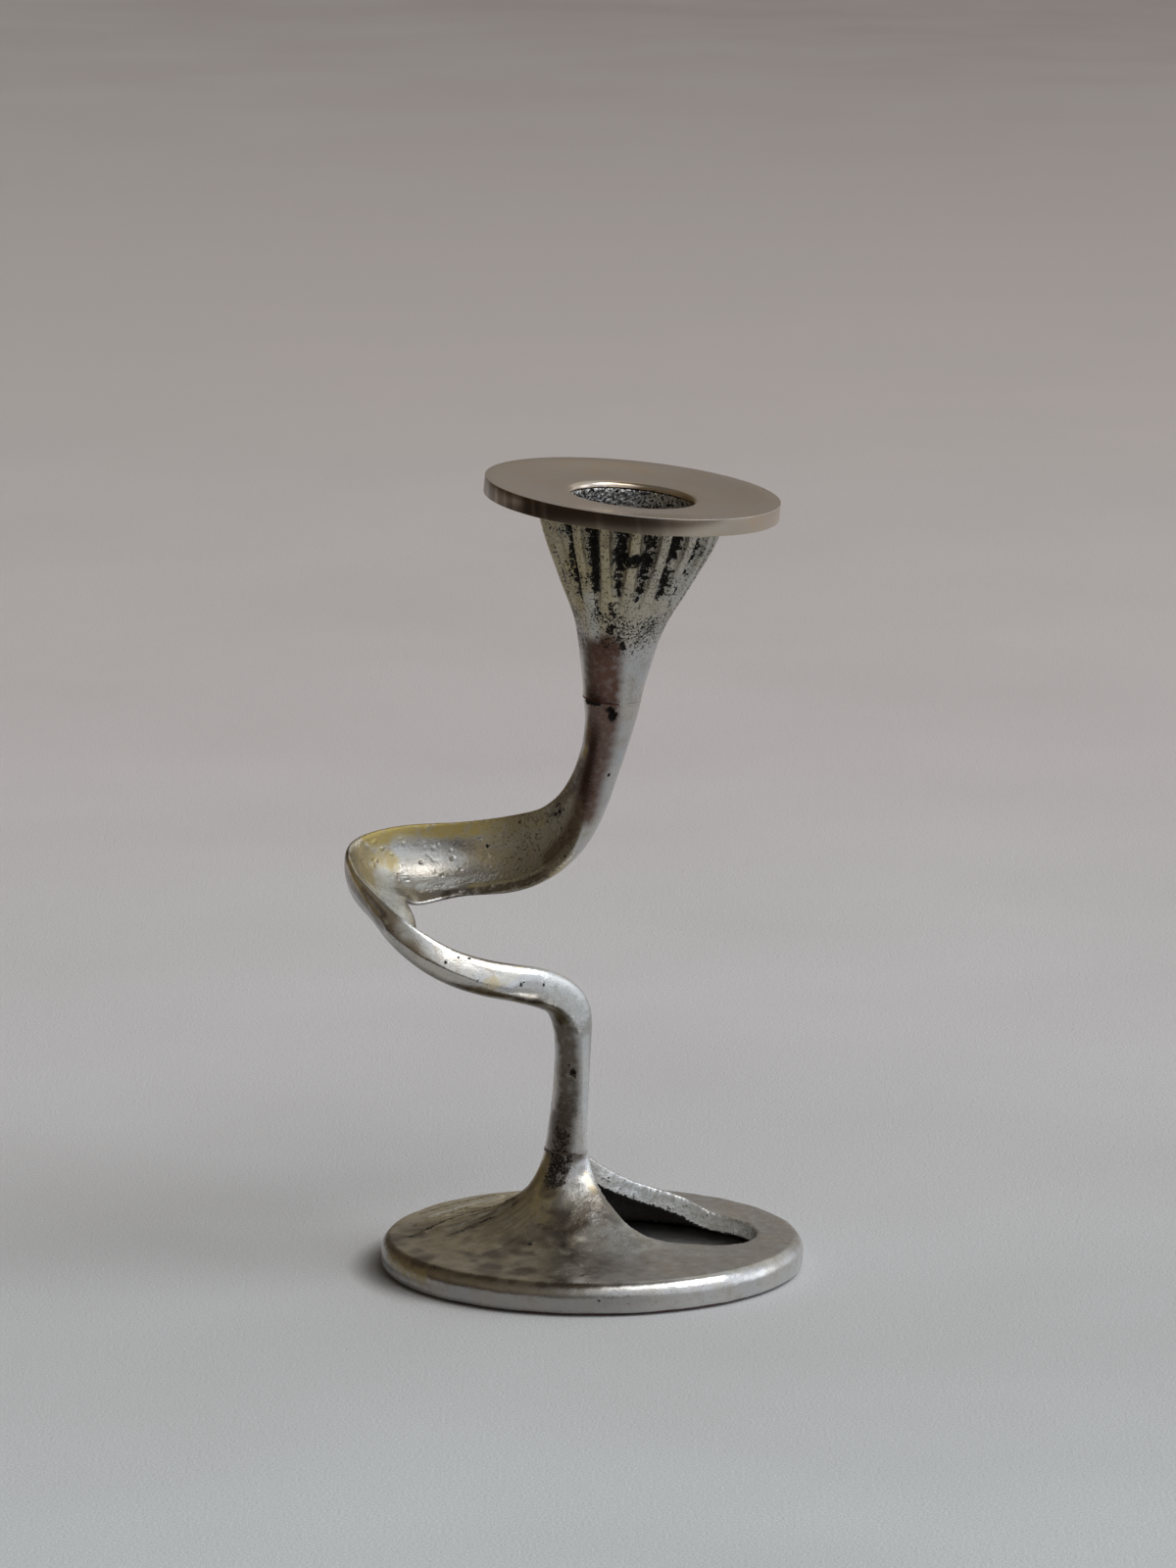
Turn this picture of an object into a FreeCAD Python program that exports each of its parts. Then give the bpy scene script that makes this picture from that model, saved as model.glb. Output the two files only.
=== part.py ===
import FreeCAD, Part
import math
import os

# Spiral candle holder in cast metal: a round foot with an open flare, a stem that turns
# once round in a trough, a fluted cup and a drip pan.
# Millimetres, +Z up. The origin is the centre of the foot on the table, and -Y is the front.

Vec = FreeCAD.Vector
UP = Vec(0, 0, 1)

# Foot casting and the felt under it
FOOT_DIAMETER = 78.0
FOOT_HEIGHT = 6.05
FOOT_TUCK = 1.4
FOOT_BELLY = 1.9
FELT_THICKNESS = 0.5
FELT_MARGIN = 0.6
FLARE_TOP = 22.0
FLARE_WALL = 3.2
FLARE_SIDE_WALL = 1.8
RIM_WIDTH = 4.2

# Opening in the flare
OPENING_LENGTH = 32.0
OPENING_WIDTH = 23.0
OPENING_START = -1.6

# Stem
SHANK_X = -4.8
SHANK_Y = 0.6
LOOP_REACH = 40.0
LOOP_DEPTH = 28.0
STEM_HEIGHT = 83.8
NECK_LEAN = 8.4
NECK_SET_BACK = 2.4
TROUGH_WIDTH = 14.0
TROUGH_DISH = 3.8
STEM_THICKNESS = 9.6

# Cup on the neck, which leans to the right and a little to the front
CUP_HEIGHT = 36.1
CUP_LEAN_RIGHT = 5.6
CUP_LEAN_FRONT = 2.35
CANDLE_BORE = 22.5
BORE_LENGTH = 12.0
SOCKET_TAPER_LENGTH = 11.0
SOCKET_FLOOR_DIAMETER = 8.0
SHOULDER_WIDTH = 4.25

# Flutes under the top of the cup, from their tail up
FLUTE_COUNT = 18
FLUTE_COMPASS = 4
FLUTE_DEPTH = 1.3
FLUTE_TOP_SHARE = 0.75
FLUTE_TAIL_SHARE = 0.3
ROW_COUNT_UNDER_FLUTES = 5

# Drip pan
PAN_DIAMETER = 54.2
PAN_THICKNESS = 3.1
PAN_DISH = 1.25
PAN_LIP = 1.0
PAN_EDGE_BEVEL = 0.4
SPIGOT_HEIGHT = 1.0
SPIGOT_WALL = 1.7

# Joints between the castings
SOLDER_THICKNESS = 0.3
SOLDER_BEAD = 0.15
SEAT_CLEARANCE = 0.1
PIN_DIAMETER = 2.6
PIN_LENGTH = 12.0
NECK_PIN_DIAMETER = 4.0

# Where the stem passes, from the foot joint to the neck joint. Shares: sideways of LOOP_REACH,
# back of LOOP_DEPTH, up of STEM_HEIGHT, width of TROUGH_WIDTH, thickness of STEM_THICKNESS,
# dish of TROUGH_DISH, then the compass and the rise in degrees that the hollow side faces.
STATION_SHARES = [
    (0.000, 0.000, 0.000, 0.67, 0.69, 0.21, 28, 0),
    (0.018, -0.007, 0.110, 0.56, 0.58, 0.24, 32, 0),
    (0.028, -0.025, 0.235, 0.53, 0.54, 0.26, 42, 2),
    (0.005, -0.100, 0.323, 0.60, 0.54, 0.32, 60, 28),
    (-0.100, -0.257, 0.374, 0.63, 0.54, 0.42, 78, 42),
    (-0.255, -0.407, 0.400, 0.56, 0.50, 0.45, 86, 40),
    (-0.437, -0.493, 0.424, 0.53, 0.46, 0.50, 86, 40),
    (-0.620, -0.486, 0.465, 0.53, 0.42, 0.53, 72, 46),
    (-0.745, -0.379, 0.509, 0.66, 0.40, 0.60, 54, 54),
    (-0.818, -0.188, 0.544, 0.86, 0.37, 0.72, 26, 57),
    (-0.886, 0.024, 0.571, 0.99, 0.36, 0.88, -4, 51),
    (-0.889, 0.240, 0.592, 1.06, 0.36, 0.95, -38, 43),
    (-0.752, 0.408, 0.599, 1.12, 0.37, 1.00, -64, 31),
    (-0.520, 0.477, 0.610, 1.03, 0.37, 0.95, -82, 27),
    (-0.305, 0.443, 0.622, 1.04, 0.40, 0.95, -94, 26),
    (-0.132, 0.329, 0.648, 1.00, 0.47, 0.97, -106, 26),
    (0.000, 0.221, 0.698, 0.83, 0.56, 0.82, -118, 24),
    (0.083, 0.157, 0.765, 0.64, 0.74, 0.37, -130, 20),
    (0.140, 0.129, 0.836, 0.54, 0.79, 0.08, -140, 10),
    (0.189, 0.107, 0.918, 0.58, 0.85, 0.00, -136, 0),
]

# Level curves of the flare, from the stem down. Shares: height of the flare above the rim,
# radius of the foot's shoulder, how far the curve has moved to the foot's centre,
# swell of the blade at the back, its compass, and swell of the front lip.
FLARE_SHARES = [
    (0.76, 0.140, 0.00, 0.55, 46, 0.15),
    (0.51, 0.205, 0.00, 0.95, 38, 0.25),
    (0.29, 0.320, 0.02, 0.95, 32, 0.18),
    (0.125, 0.490, 0.10, 0.52, 28, 0.06),
    (0.045, 0.700, 0.35, 0.14, 26, 0.00),
]
BLADE_SPREAD = 27
LIP_COMPASS = -42
LIP_SPREAD = 26

# Plan of the opening. Shares: along OPENING_LENGTH from its start, across OPENING_WIDTH.
OPENING_SHARES = [
    (0.00, 0.03), (0.08, -0.15), (0.17, -0.29), (0.29, -0.42), (0.44, -0.49), (0.60, -0.50),
    (0.76, -0.47), (0.89, -0.37), (0.98, -0.17), (1.00, 0.03), (0.97, 0.22), (0.89, 0.41),
    (0.76, 0.52), (0.60, 0.54), (0.45, 0.50), (0.29, 0.41), (0.16, 0.29), (0.06, 0.17),
]

# Outside of the cup. Shares: height of CUP_HEIGHT, radius of the cup's top radius, and how
# far the section has gone from the squarish neck to a true round.
CUP_SHARES = [
    (0.000, 0.293, 0.0), (0.080, 0.316, 0.1), (0.170, 0.357, 0.3), (0.270, 0.402, 0.5),
    (0.370, 0.462, 0.8), (0.470, 0.552, 1.0), (0.575, 0.665, 1.0), (0.675, 0.765, 1.0),
    (0.780, 0.868, 1.0), (0.870, 0.945, 1.0), (1.000, 1.000, 1.0),
]

SECTION_POINT_COUNT = 24
RIM_ROW_COUNT = 5
SQUARENESS_SHARE = 0.83

rim_radius = FOOT_DIAMETER / 2
shoulder_radius = rim_radius - FOOT_TUCK
bore_radius = CANDLE_BORE / 2
spigot_radius = bore_radius + SPIGOT_WALL
cup_top_radius = spigot_radius + SHOULDER_WIDTH
cup_axis = Vec(math.tan(math.radians(CUP_LEAN_RIGHT)), -math.tan(math.radians(CUP_LEAN_FRONT)), 1)
cup_axis.normalize()


def station_centre(row):
    """The middle of the stem at one row of the table."""
    foot_seat = FLARE_TOP + SOLDER_THICKNESS
    return Vec(SHANK_X + row[0] * LOOP_REACH, SHANK_Y + row[1] * LOOP_DEPTH,
               foot_seat + row[2] * STEM_HEIGHT)


def neck_centre():
    """The middle of the joint between the neck and the cup."""
    return Vec(SHANK_X + NECK_LEAN, SHANK_Y + NECK_SET_BACK,
               FLARE_TOP + SOLDER_THICKNESS + STEM_HEIGHT)


def powered(value, power):
    """A sine or cosine raised to a power with its sign kept."""
    return math.copysign(abs(value) ** power, value)


def section_points(centre, along, compass, rise, width, thickness, dish, roundness=0.0):
    """Points round a section: an oval whose two lips bend towards its hollow side."""
    facing = Vec(math.cos(math.radians(compass)) * math.cos(math.radians(rise)),
                 math.sin(math.radians(compass)) * math.cos(math.radians(rise)),
                 math.sin(math.radians(rise)))
    facing = facing - along * facing.dot(along)
    facing.normalize()
    across = along.cross(facing)
    power = SQUARENESS_SHARE + (1 - SQUARENESS_SHARE) * roundness
    points = []
    for step in range(SECTION_POINT_COUNT):
        turn = math.tau * step / SECTION_POINT_COUNT
        side = powered(math.cos(turn), power)
        lip = abs(side) ** 2 - 1 / 2
        out = powered(math.sin(turn), power) * thickness / 2 + lip * dish
        points.append(centre + across * (side * width / 2) + facing * out)
    return points


def closed_curve(points):
    """A smooth closed curve through evenly spaced points."""
    count = len(points)
    curve = Part.BSplineCurve()
    curve.interpolate(Points=points, PeriodicFlag=True,
                      Parameters=[step / count for step in range(count + 1)])
    return curve


def closed_wire(points):
    """A smooth closed wire through points."""
    return Part.Wire([closed_curve(points).toShape()])


def skin_surface(rows, spots):
    """A surface that passes smoothly through closed rows of points.

    Every row has the same number of points, and spots says how far along each row lies.
    """
    columns = []
    for points in zip(*rows):
        curve = Part.BSplineCurve()
        curve.interpolate(Points=list(points), Parameters=spots)
        columns.append(curve)
    rings = [closed_curve(list(points)) for points in zip(*[c.getPoles() for c in columns])]
    poles = [list(row) for row in zip(*[ring.getPoles() for ring in rings])]
    skin = Part.BSplineSurface()
    skin.buildFromPolesMultsKnots(
        poles, rings[0].getMultiplicities(), columns[0].getMultiplicities(),
        rings[0].getKnots(), columns[0].getKnots(), True, False,
        rings[0].Degree, columns[0].Degree)
    return skin


def skinned(*stretches):
    """A solid from stretches of skin that meet at creases, with flat ends.

    Each stretch is its rows and their spots, and starts on the last row of the one before.
    """
    skins = [skin_surface(rows, spots) for rows, spots in stretches]
    first = skins[0].vIso(stretches[0][1][0])
    last = skins[-1].vIso(stretches[-1][1][-1])
    ends = [Part.Face(Part.Wire([ring.toShape()])) for ring in (first, last)]
    shell = Part.makeShell([skin.toShape() for skin in skins] + ends)
    shell.sewShape()
    solid = Part.makeSolid(shell.Shells[0])
    if solid.Volume < 0:
        solid.reverse()
    return solid


def skinned_rows(*groups):
    """The same solid from groups of rows, with their spots worked out from the distances."""
    return skinned(*[(rows, row_spots(rows)) for rows in groups])


def stem_section(row, centre, along, grow=0.0):
    """The stem's section with the sizes of one row of the table."""
    return section_points(centre, along, row[6], row[7],
                          row[3] * TROUGH_WIDTH + 2 * grow, row[4] * STEM_THICKNESS + 2 * grow,
                          row[5] * TROUGH_DISH)


def neck_section(centre, along, radius):
    """The squarish section where the neck meets the cup."""
    return section_points(centre, along, STATION_SHARES[-1][6], 0, 2 * radius, 2 * radius, 0)


def cup_section(height, radius, roundness):
    """A section of the cup, a height above the neck joint, before the cup is leaned."""
    return section_points(Vec(0, 0, height), UP, STATION_SHARES[-1][6], 0,
                          2 * radius, 2 * radius, 0, roundness)


def cup_placed(shape, height=0.0):
    """A shape drawn round +Z, moved onto the cup's axis above the neck joint."""
    turn = FreeCAD.Rotation(UP, cup_axis)
    shape.Placement = FreeCAD.Placement(neck_centre() + cup_axis * height, turn)
    return shape


def revolved(profile):
    """A solid turned about +Z from points of (radius, height)."""
    corners = [Vec(radius, 0, height) for radius, height in profile]
    face = Part.Face(Part.makePolygon(corners + corners[:1]))
    return face.revolve(Vec(), UP, 360)


def arc(start, middle, end):
    """An arc edge through three (radius, height) points."""
    return Part.Arc(*[Vec(radius, 0, height) for radius, height in (start, middle, end)]).toShape()


def line(start, end):
    """A straight edge between two (radius, height) points."""
    return Part.makeLine(Vec(start[0], 0, start[1]), Vec(end[0], 0, end[1]))


def neck_radius():
    """Half the width of the neck at its joint."""
    return CUP_SHARES[0][1] * cup_top_radius


def build_stem():
    """The stem: shank, knee, trough round the loop and neck, as one skin."""
    centres = [station_centre(row) for row in STATION_SHARES] + [neck_centre()]
    route = Part.BSplineCurve()
    route.interpolate(Points=centres, InitialTangent=UP, FinalTangent=cup_axis)
    spots = [route.parameter(centre) for centre in centres]
    rows = [stem_section(row, centre, route.tangent(spot)[0])
            for row, centre, spot in zip(STATION_SHARES, centres, spots)]
    rows.append(neck_section(neck_centre(), cup_axis, neck_radius()))
    stem = skinned((rows, spots))
    foot_hole = pin_hole(station_centre(STATION_SHARES[0]), UP, PIN_DIAMETER)
    neck_hole = pin_hole(neck_centre(), cup_axis * -1, NECK_PIN_DIAMETER)
    return stem.cut(foot_hole).cut(neck_hole)


def pin_hole(mouth, into, diameter):
    """A blind hole for half a locating pin, from a joint face into a casting."""
    radius = diameter / 2 + SEAT_CLEARANCE
    depth = PIN_LENGTH / 2 + SEAT_CLEARANCE
    return Part.makeCylinder(radius, depth, mouth, into)


def pin(middle, along, diameter):
    """A locating pin across a joint."""
    return Part.makeCylinder(diameter / 2, PIN_LENGTH, middle - along * (PIN_LENGTH / 2), along)


def flare_rows(drop, inset):
    """The flare's level curves, lowered and drawn in for the hollow under it."""
    rise = FLARE_TOP - FOOT_HEIGHT
    start = STATION_SHARES[0][6]
    rows = []
    for height, size, shift, blade, blade_compass, lip in FLARE_SHARES:
        points = []
        for step in range(SECTION_POINT_COUNT):
            compass = start + 90 - 360 * step / SECTION_POINT_COUNT
            back = math.remainder(compass - blade_compass, 360) / BLADE_SPREAD
            front = math.remainder(compass - LIP_COMPASS, 360) / LIP_SPREAD
            swell = 1 + blade * math.exp(-back * back) + lip * math.exp(-front * front)
            radius = size * shoulder_radius * swell - inset
            angle = math.radians(compass)
            points.append(Vec(SHANK_X * (1 - shift) + radius * math.cos(angle),
                              SHANK_Y * (1 - shift) + radius * math.sin(angle),
                              FOOT_HEIGHT + height * rise - drop))
        rows.append(points)
    return rows


def ring_row(radius, height):
    """A circle about the foot's centre, started like the flare's curves."""
    start = STATION_SHARES[0][6]
    points = []
    for step in range(SECTION_POINT_COUNT):
        angle = math.radians(start + 90 - 360 * step / SECTION_POINT_COUNT)
        points.append(Vec(radius * math.cos(angle), radius * math.sin(angle), height))
    return points


def row_spots(rows):
    """How far along each row lies, by the mean distance between rows."""
    spots = [0.0]
    for lower, upper in zip(rows, rows[1:]):
        spots.append(spots[-1] + sum(a.distanceToPoint(b) for a, b in zip(lower, upper)))
    return spots


def rim_rows():
    """Circles round the rim's rounded side, from the shoulder down to the felt."""
    side = Part.Arc(Vec(shoulder_radius, 0, FOOT_HEIGHT),
                    Vec(rim_radius, 0, FELT_THICKNESS + FOOT_BELLY),
                    Vec(shoulder_radius, 0, FELT_THICKNESS)).toShape()
    return [ring_row(point.x, point.z) for point in side.discretize(Number=RIM_ROW_COUNT)]


def build_foot():
    """The foot: a rounded rim, the flare that climbs to the stem, and the opening in it."""
    joint = Vec(SHANK_X, SHANK_Y, FLARE_TOP)
    shoulder = ring_row(shoulder_radius, FOOT_HEIGHT)
    foot = skinned_rows([stem_section(STATION_SHARES[0], joint, UP)] + flare_rows(0, 0)
                        + [shoulder], rim_rows())
    hollow_radius = shoulder_radius - RIM_WIDTH
    ledge = ring_row(hollow_radius, FOOT_HEIGHT - FLARE_WALL)
    hollow = skinned_rows(flare_rows(FLARE_WALL, FLARE_SIDE_WALL) + [ledge],
                          [ledge, ring_row(hollow_radius, 0)])
    foot = foot.cut(hollow).cut(opening_cutter())
    return foot.cut(pin_hole(joint, UP * -1, PIN_DIAMETER))


def opening_cutter():
    """The opening's plan, as high as the flare."""
    points = [Vec(OPENING_START + along * OPENING_LENGTH, across * OPENING_WIDTH, 0)
              for along, across in OPENING_SHARES]
    return Part.Face(closed_wire(points)).extrude(UP * FLARE_TOP)


def flute_cutters():
    """Cones that lean against the cup and sink into it towards the top, one for each flute."""
    tail_share, tail_size, _ = CUP_SHARES[ROW_COUNT_UNDER_FLUTES]
    pitch = math.tau / FLUTE_COUNT
    tail_radius = FLUTE_TAIL_SHARE * pitch * tail_size * cup_top_radius
    top_radius = FLUTE_TOP_SHARE * pitch * cup_top_radius / 2
    tail = Vec(tail_size * cup_top_radius + tail_radius, 0, tail_share * CUP_HEIGHT)
    top = Vec(cup_top_radius + top_radius - FLUTE_DEPTH, 0, CUP_HEIGHT)
    along = top - tail
    reach = 1 + FLUTE_DEPTH / along.Length
    cutter = Part.makeCone(tail_radius, tail_radius + (top_radius - tail_radius) * reach,
                           along.Length * reach, tail, along)
    cutters = []
    for step in range(FLUTE_COUNT):
        turned = cutter.copy()
        turned.rotate(Vec(), UP, FLUTE_COMPASS + math.degrees(step * pitch))
        cutters.append(turned)
    return Part.makeCompound(cutters)


def build_cup():
    """The cup: a trumpet with flutes under its top, a candle socket and a spigot."""
    body = CUP_HEIGHT - SOLDER_THICKNESS
    rows = [cup_section(SOLDER_THICKNESS + share * body, size * cup_top_radius, roundness)
            for share, size, roundness in CUP_SHARES]
    cup = skinned_rows(rows).cut(flute_cutters())
    cup = cup.fuse(Part.makeCylinder(spigot_radius, SPIGOT_HEIGHT, Vec(0, 0, CUP_HEIGHT)))
    mouth = CUP_HEIGHT + SPIGOT_HEIGHT
    step = mouth - BORE_LENGTH
    floor = step - SOCKET_TAPER_LENGTH
    socket = revolved([(0, floor), (SOCKET_FLOOR_DIAMETER / 2, floor), (bore_radius, step),
                       (bore_radius, mouth), (0, mouth)])
    cup = cup.cut(socket).cut(pin_hole(Vec(0, 0, SOLDER_THICKNESS), UP, NECK_PIN_DIAMETER))
    return cup_placed(cup)


def build_pan():
    """The drip pan: a bevelled disc that dishes to a rounded mouth, set over the spigot."""
    radius = PAN_DIAMETER / 2
    seat = spigot_radius + SEAT_CLEARANCE
    seat_top = SPIGOT_HEIGHT - SOLDER_THICKNESS + SEAT_CLEARANCE
    lip = PAN_THICKNESS - PAN_DISH
    bevel = PAN_EDGE_BEVEL
    round_share = 1 - math.sqrt(1 / 2)
    dish_middle = ((radius + bore_radius) / 2, PAN_THICKNESS - PAN_DISH * (1 - round_share))
    lip_outer = (bore_radius + PAN_LIP, lip)
    lip_middle = (bore_radius + PAN_LIP * round_share, lip - PAN_LIP * round_share)
    lip_inner = (bore_radius, lip - PAN_LIP)
    corners = [lip_inner, (bore_radius, seat_top), (seat, seat_top), (seat, 0),
               (radius - bevel, 0), (radius, bevel), (radius, PAN_THICKNESS - bevel),
               (radius - bevel, PAN_THICKNESS)]
    outline = Part.Wire([line(start, end) for start, end in zip(corners, corners[1:])]
                        + [arc(corners[-1], dish_middle, lip_outer),
                           arc(lip_outer, lip_middle, lip_inner)])
    pan = Part.Face(outline).revolve(Vec(), UP, 360)
    return cup_placed(pan, CUP_HEIGHT + SOLDER_THICKNESS)


def build_pan_solder():
    """The flat ring of solder between the cup's shoulder and the pan."""
    inner = spigot_radius + SEAT_CLEARANCE
    outer = cup_top_radius - FLUTE_DEPTH
    ring = revolved([(inner, 0), (outer, 0), (outer, SOLDER_THICKNESS), (inner, SOLDER_THICKNESS)])
    return cup_placed(ring, CUP_HEIGHT)


def joint_solder(rim, along, diameter):
    """A leaf of solder between two castings, standing a little proud, pierced by the pin."""
    leaf = Part.Face(closed_wire(rim)).extrude(along * SOLDER_THICKNESS)
    hole = Part.makeCylinder(diameter / 2 + SEAT_CLEARANCE, 3 * SOLDER_THICKNESS,
                             leaf.CenterOfMass - along * (3 * SOLDER_THICKNESS / 2), along)
    return leaf.cut(hole)


def build_foot_solder():
    """The solder between the foot and the shank."""
    rim = stem_section(STATION_SHARES[0], Vec(SHANK_X, SHANK_Y, FLARE_TOP), UP, SOLDER_BEAD)
    return joint_solder(rim, UP, PIN_DIAMETER)


def build_neck_solder():
    """The solder between the neck and the cup."""
    rim = neck_section(neck_centre(), cup_axis, neck_radius() + SOLDER_BEAD)
    return joint_solder(rim, cup_axis, NECK_PIN_DIAMETER)


def build_felt():
    """The felt glued under the foot, which also closes its hollow."""
    return Part.makeCylinder(shoulder_radius - FELT_MARGIN, FELT_THICKNESS)


def main():
    """Builds every piece and writes one file for each."""
    foot_joint = Vec(SHANK_X, SHANK_Y, FLARE_TOP + SOLDER_THICKNESS / 2)
    neck_joint = neck_centre() + cup_axis * (SOLDER_THICKNESS / 2)
    pieces = {
        "foot_casting": build_foot(),
        "felt_pad": build_felt(),
        "spiral_stem": build_stem(),
        "foot_joint_pin": pin(foot_joint, UP, PIN_DIAMETER),
        "foot_joint_solder": build_foot_solder(),
        "fluted_cup": build_cup(),
        "neck_joint_pin": pin(neck_joint, cup_axis, NECK_PIN_DIAMETER),
        "neck_joint_solder": build_neck_solder(),
        "drip_pan": build_pan(),
        "pan_solder_ring": build_pan_solder(),
    }
    os.makedirs("parts", exist_ok=True)
    for name, shape in pieces.items():
        print(name, shape.ShapeType, len(shape.Solids), shape.isValid(), round(shape.Volume, 1))
        shape.exportStep("parts/" + name + ".step")


main()
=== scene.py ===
"""Looks of the spiral candle holder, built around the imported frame.

Metres, +Z up. The holder stands at the origin and -Y is its front. Sizes in the classes are
in millimetres, as a maker writes them, and spots of the photograph are in its own pixels.
"""

import logging
import math
from contextlib import contextmanager
from dataclasses import dataclass
from enum import Enum
from typing import Iterator, Optional, Sequence

import bpy
import numpy as np
from mathutils import Matrix, Vector, noise


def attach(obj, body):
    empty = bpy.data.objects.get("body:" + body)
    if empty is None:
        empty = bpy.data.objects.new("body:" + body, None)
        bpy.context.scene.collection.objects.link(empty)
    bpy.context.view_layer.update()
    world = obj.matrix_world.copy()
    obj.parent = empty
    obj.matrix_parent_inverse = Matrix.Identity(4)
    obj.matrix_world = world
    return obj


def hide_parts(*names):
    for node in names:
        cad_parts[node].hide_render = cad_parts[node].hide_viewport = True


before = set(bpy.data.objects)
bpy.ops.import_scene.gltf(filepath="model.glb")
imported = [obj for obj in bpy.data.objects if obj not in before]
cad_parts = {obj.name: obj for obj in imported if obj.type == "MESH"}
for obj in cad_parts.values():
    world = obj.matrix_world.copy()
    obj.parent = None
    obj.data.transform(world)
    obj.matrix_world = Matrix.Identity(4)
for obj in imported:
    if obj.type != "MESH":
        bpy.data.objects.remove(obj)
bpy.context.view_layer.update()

MM = 0.001
BODY = "root"
Color = tuple[float, float, float]
Place = tuple[float, float, float]
Spot = tuple[float, float]
Span = tuple[float, float]
# From which value to which, and what it gives there where that isn't 0 and 1
Ramp = tuple[float, ...]
Socket = bpy.types.NodeSocket
Piece = bpy.types.Object
Material = bpy.types.Material
Values = np.ndarray
# The way in which the cup and the pan lean
LEAN = (0.0975, -0.0408, 0.9944)

log = logging.getLogger("candle_holder")


class Coat(Enum):
    """What a brush stroke lays on the metal, and the attribute that holds it. Some coats are the
    metal's own colours, and some are painted shade and painted highlight.
    """

    # Soot in pits, flutes, the socket and joints, and also painted shade in the foot's hollow and
    # fold valleys
    SOOT = "soot"
    GILT = "gilt"
    FROST = "frost"
    RUST = "rust"
    # Painted shade, and in patches and at the trough's rough end the metal's own darker tone
    TONE = "tone"
    # Painted highlight: a pale, matt colour where light falls
    PALE = "pale"


def ease(values: Values, start: float, end: float) -> Values:
    """Returns 0 before start and 1 after end, with a soft rise between them."""
    share = np.clip((values - start) / (end - start), 0.0, 1.0)
    return share * share * (3.0 - 2.0 * share)


def band(values: Values, rise: Span, fall: Span) -> Values:
    """Returns 1 between a soft rise and a soft fall, and 0 outside them."""
    return ease(values, *rise) * (1.0 - ease(values, *fall))


def unit(vector: Sequence[float]) -> Values:
    """Returns a direction with a length of 1."""
    return np.array(Vector(vector).normalized())


def direction(compass: float, rise: float) -> Vector:
    """Returns the way towards a compass angle and a rise, both in degrees."""
    turn, up = math.radians(compass), math.radians(rise)
    return Vector((math.cos(turn) * math.cos(up), math.sin(turn) * math.cos(up), math.sin(up)))


def leaning() -> Matrix:
    """Returns the turn from upright to the way in which the cup and the pan lean."""
    return Vector((0.0, 0.0, 1.0)).rotation_difference(Vector(LEAN)).to_matrix()


def add_object(name: str, data: bpy.types.ID) -> Piece:
    """Adds an object to the scene."""
    piece = bpy.data.objects.new(name, data)
    bpy.context.scene.collection.objects.link(piece)
    return piece


def grain(points: Values, size: float, seed: int, octaves: int = 1) -> Values:
    """Even noise through space.

    Args:
        points: Places in millimetres, one row each.
        size: Size of one bump in millimetres.
        seed: Moves the pattern, so that two uses differ.
        octaves: How many finer layers are added.

    Returns:
        One value from about -1 to 1 for each point.
    """
    shift = Vector((17.3, -9.1, 5.7)) * seed
    spots = [Vector(point) / size + shift for point in points]
    if octaves == 1:
        return np.array([noise.noise(spot) for spot in spots])
    return np.array([noise.fractal(spot, 1.0, 2.0, octaves) for spot in spots])


@dataclass(frozen=True)
class Pattern:
    """Noise of one size and seed, and the span of its values over which a patch fills."""

    size: float
    seed: int
    fill: Span = (-1.0, 1.0)
    octaves: int = 1

    def raw(self, points: Values) -> Values:
        """Returns the plain noise, from about -1 to 1."""
        return grain(points, self.size, self.seed, self.octaves)

    def over(self, points: Values) -> Values:
        """Returns soft patches, from 0 to 1."""
        return ease(self.raw(points), *self.fill)


@dataclass(frozen=True)
class PhotoView:
    """The camera of the photograph, and the line of sight through any spot of it."""

    width: float = 1200.0
    height: float = 1600.0
    focal: float = 8353.0
    sensor: float = 36.0
    place: Place = (-0.75, -1474.6, 365.7)
    target: Place = (-0.75, 0.0, 90.8)

    def turn(self) -> Matrix:
        """Returns the camera's rotation."""
        sight = Vector(self.target) - Vector(self.place)
        return sight.to_track_quat("-Z", "Y").to_matrix()

    def build(self) -> None:
        """Adds the camera and makes it the scene's own."""
        data = bpy.data.cameras.new("photo_camera")
        data.sensor_width = self.sensor
        data.lens = self.focal / self.height * self.sensor
        data.clip_end = 50.0
        camera = add_object("photo_camera", data)
        camera.matrix_world = Matrix.Translation(Vector(self.place) * MM) @ self.turn().to_4x4()
        bpy.context.scene.camera = camera

    def hit(self, piece: Piece, spot: Spot) -> Optional[Vector]:
        """Finds the point of a piece that shows at a spot of the photograph.

        Args:
            piece: The piece, with its object at the origin.
            spot: Pixels across and down.

        Returns:
            The point in millimetres, or None where the piece isn't seen.
        """
        across = (spot[0] - self.width / 2) / self.focal
        down = (spot[1] - self.height / 2) / self.focal
        ray = self.turn() @ Vector((across, -down, -1.0))
        found, point, _, _ = piece.ray_cast(Vector(self.place) * MM, ray.normalized())
        return point / MM if found else None


@dataclass(frozen=True)
class Stroke:
    """A coat brushed on at spots of the photograph."""

    coat: Coat
    spots: tuple[Spot, ...]
    reach: float
    strength: float = 1.0
    fray: float = 0.9


def brushed(coat: Coat, rows: Sequence[tuple]) -> tuple[Stroke, ...]:
    """Returns strokes of one coat, from rows of spots, reach, strength and fray."""
    return tuple(Stroke(coat, *row) for row in rows)


@dataclass(frozen=True)
class Pit:
    """A casting pit, or a bubble where its depth is below zero."""

    spot: Spot
    radius: float
    depth: float


@dataclass(frozen=True)
class Crease:
    """A sharp ridge along spots of the photograph, or a groove where it is below zero."""

    spots: tuple[Spot, ...]
    reach: float
    height: float


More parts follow.
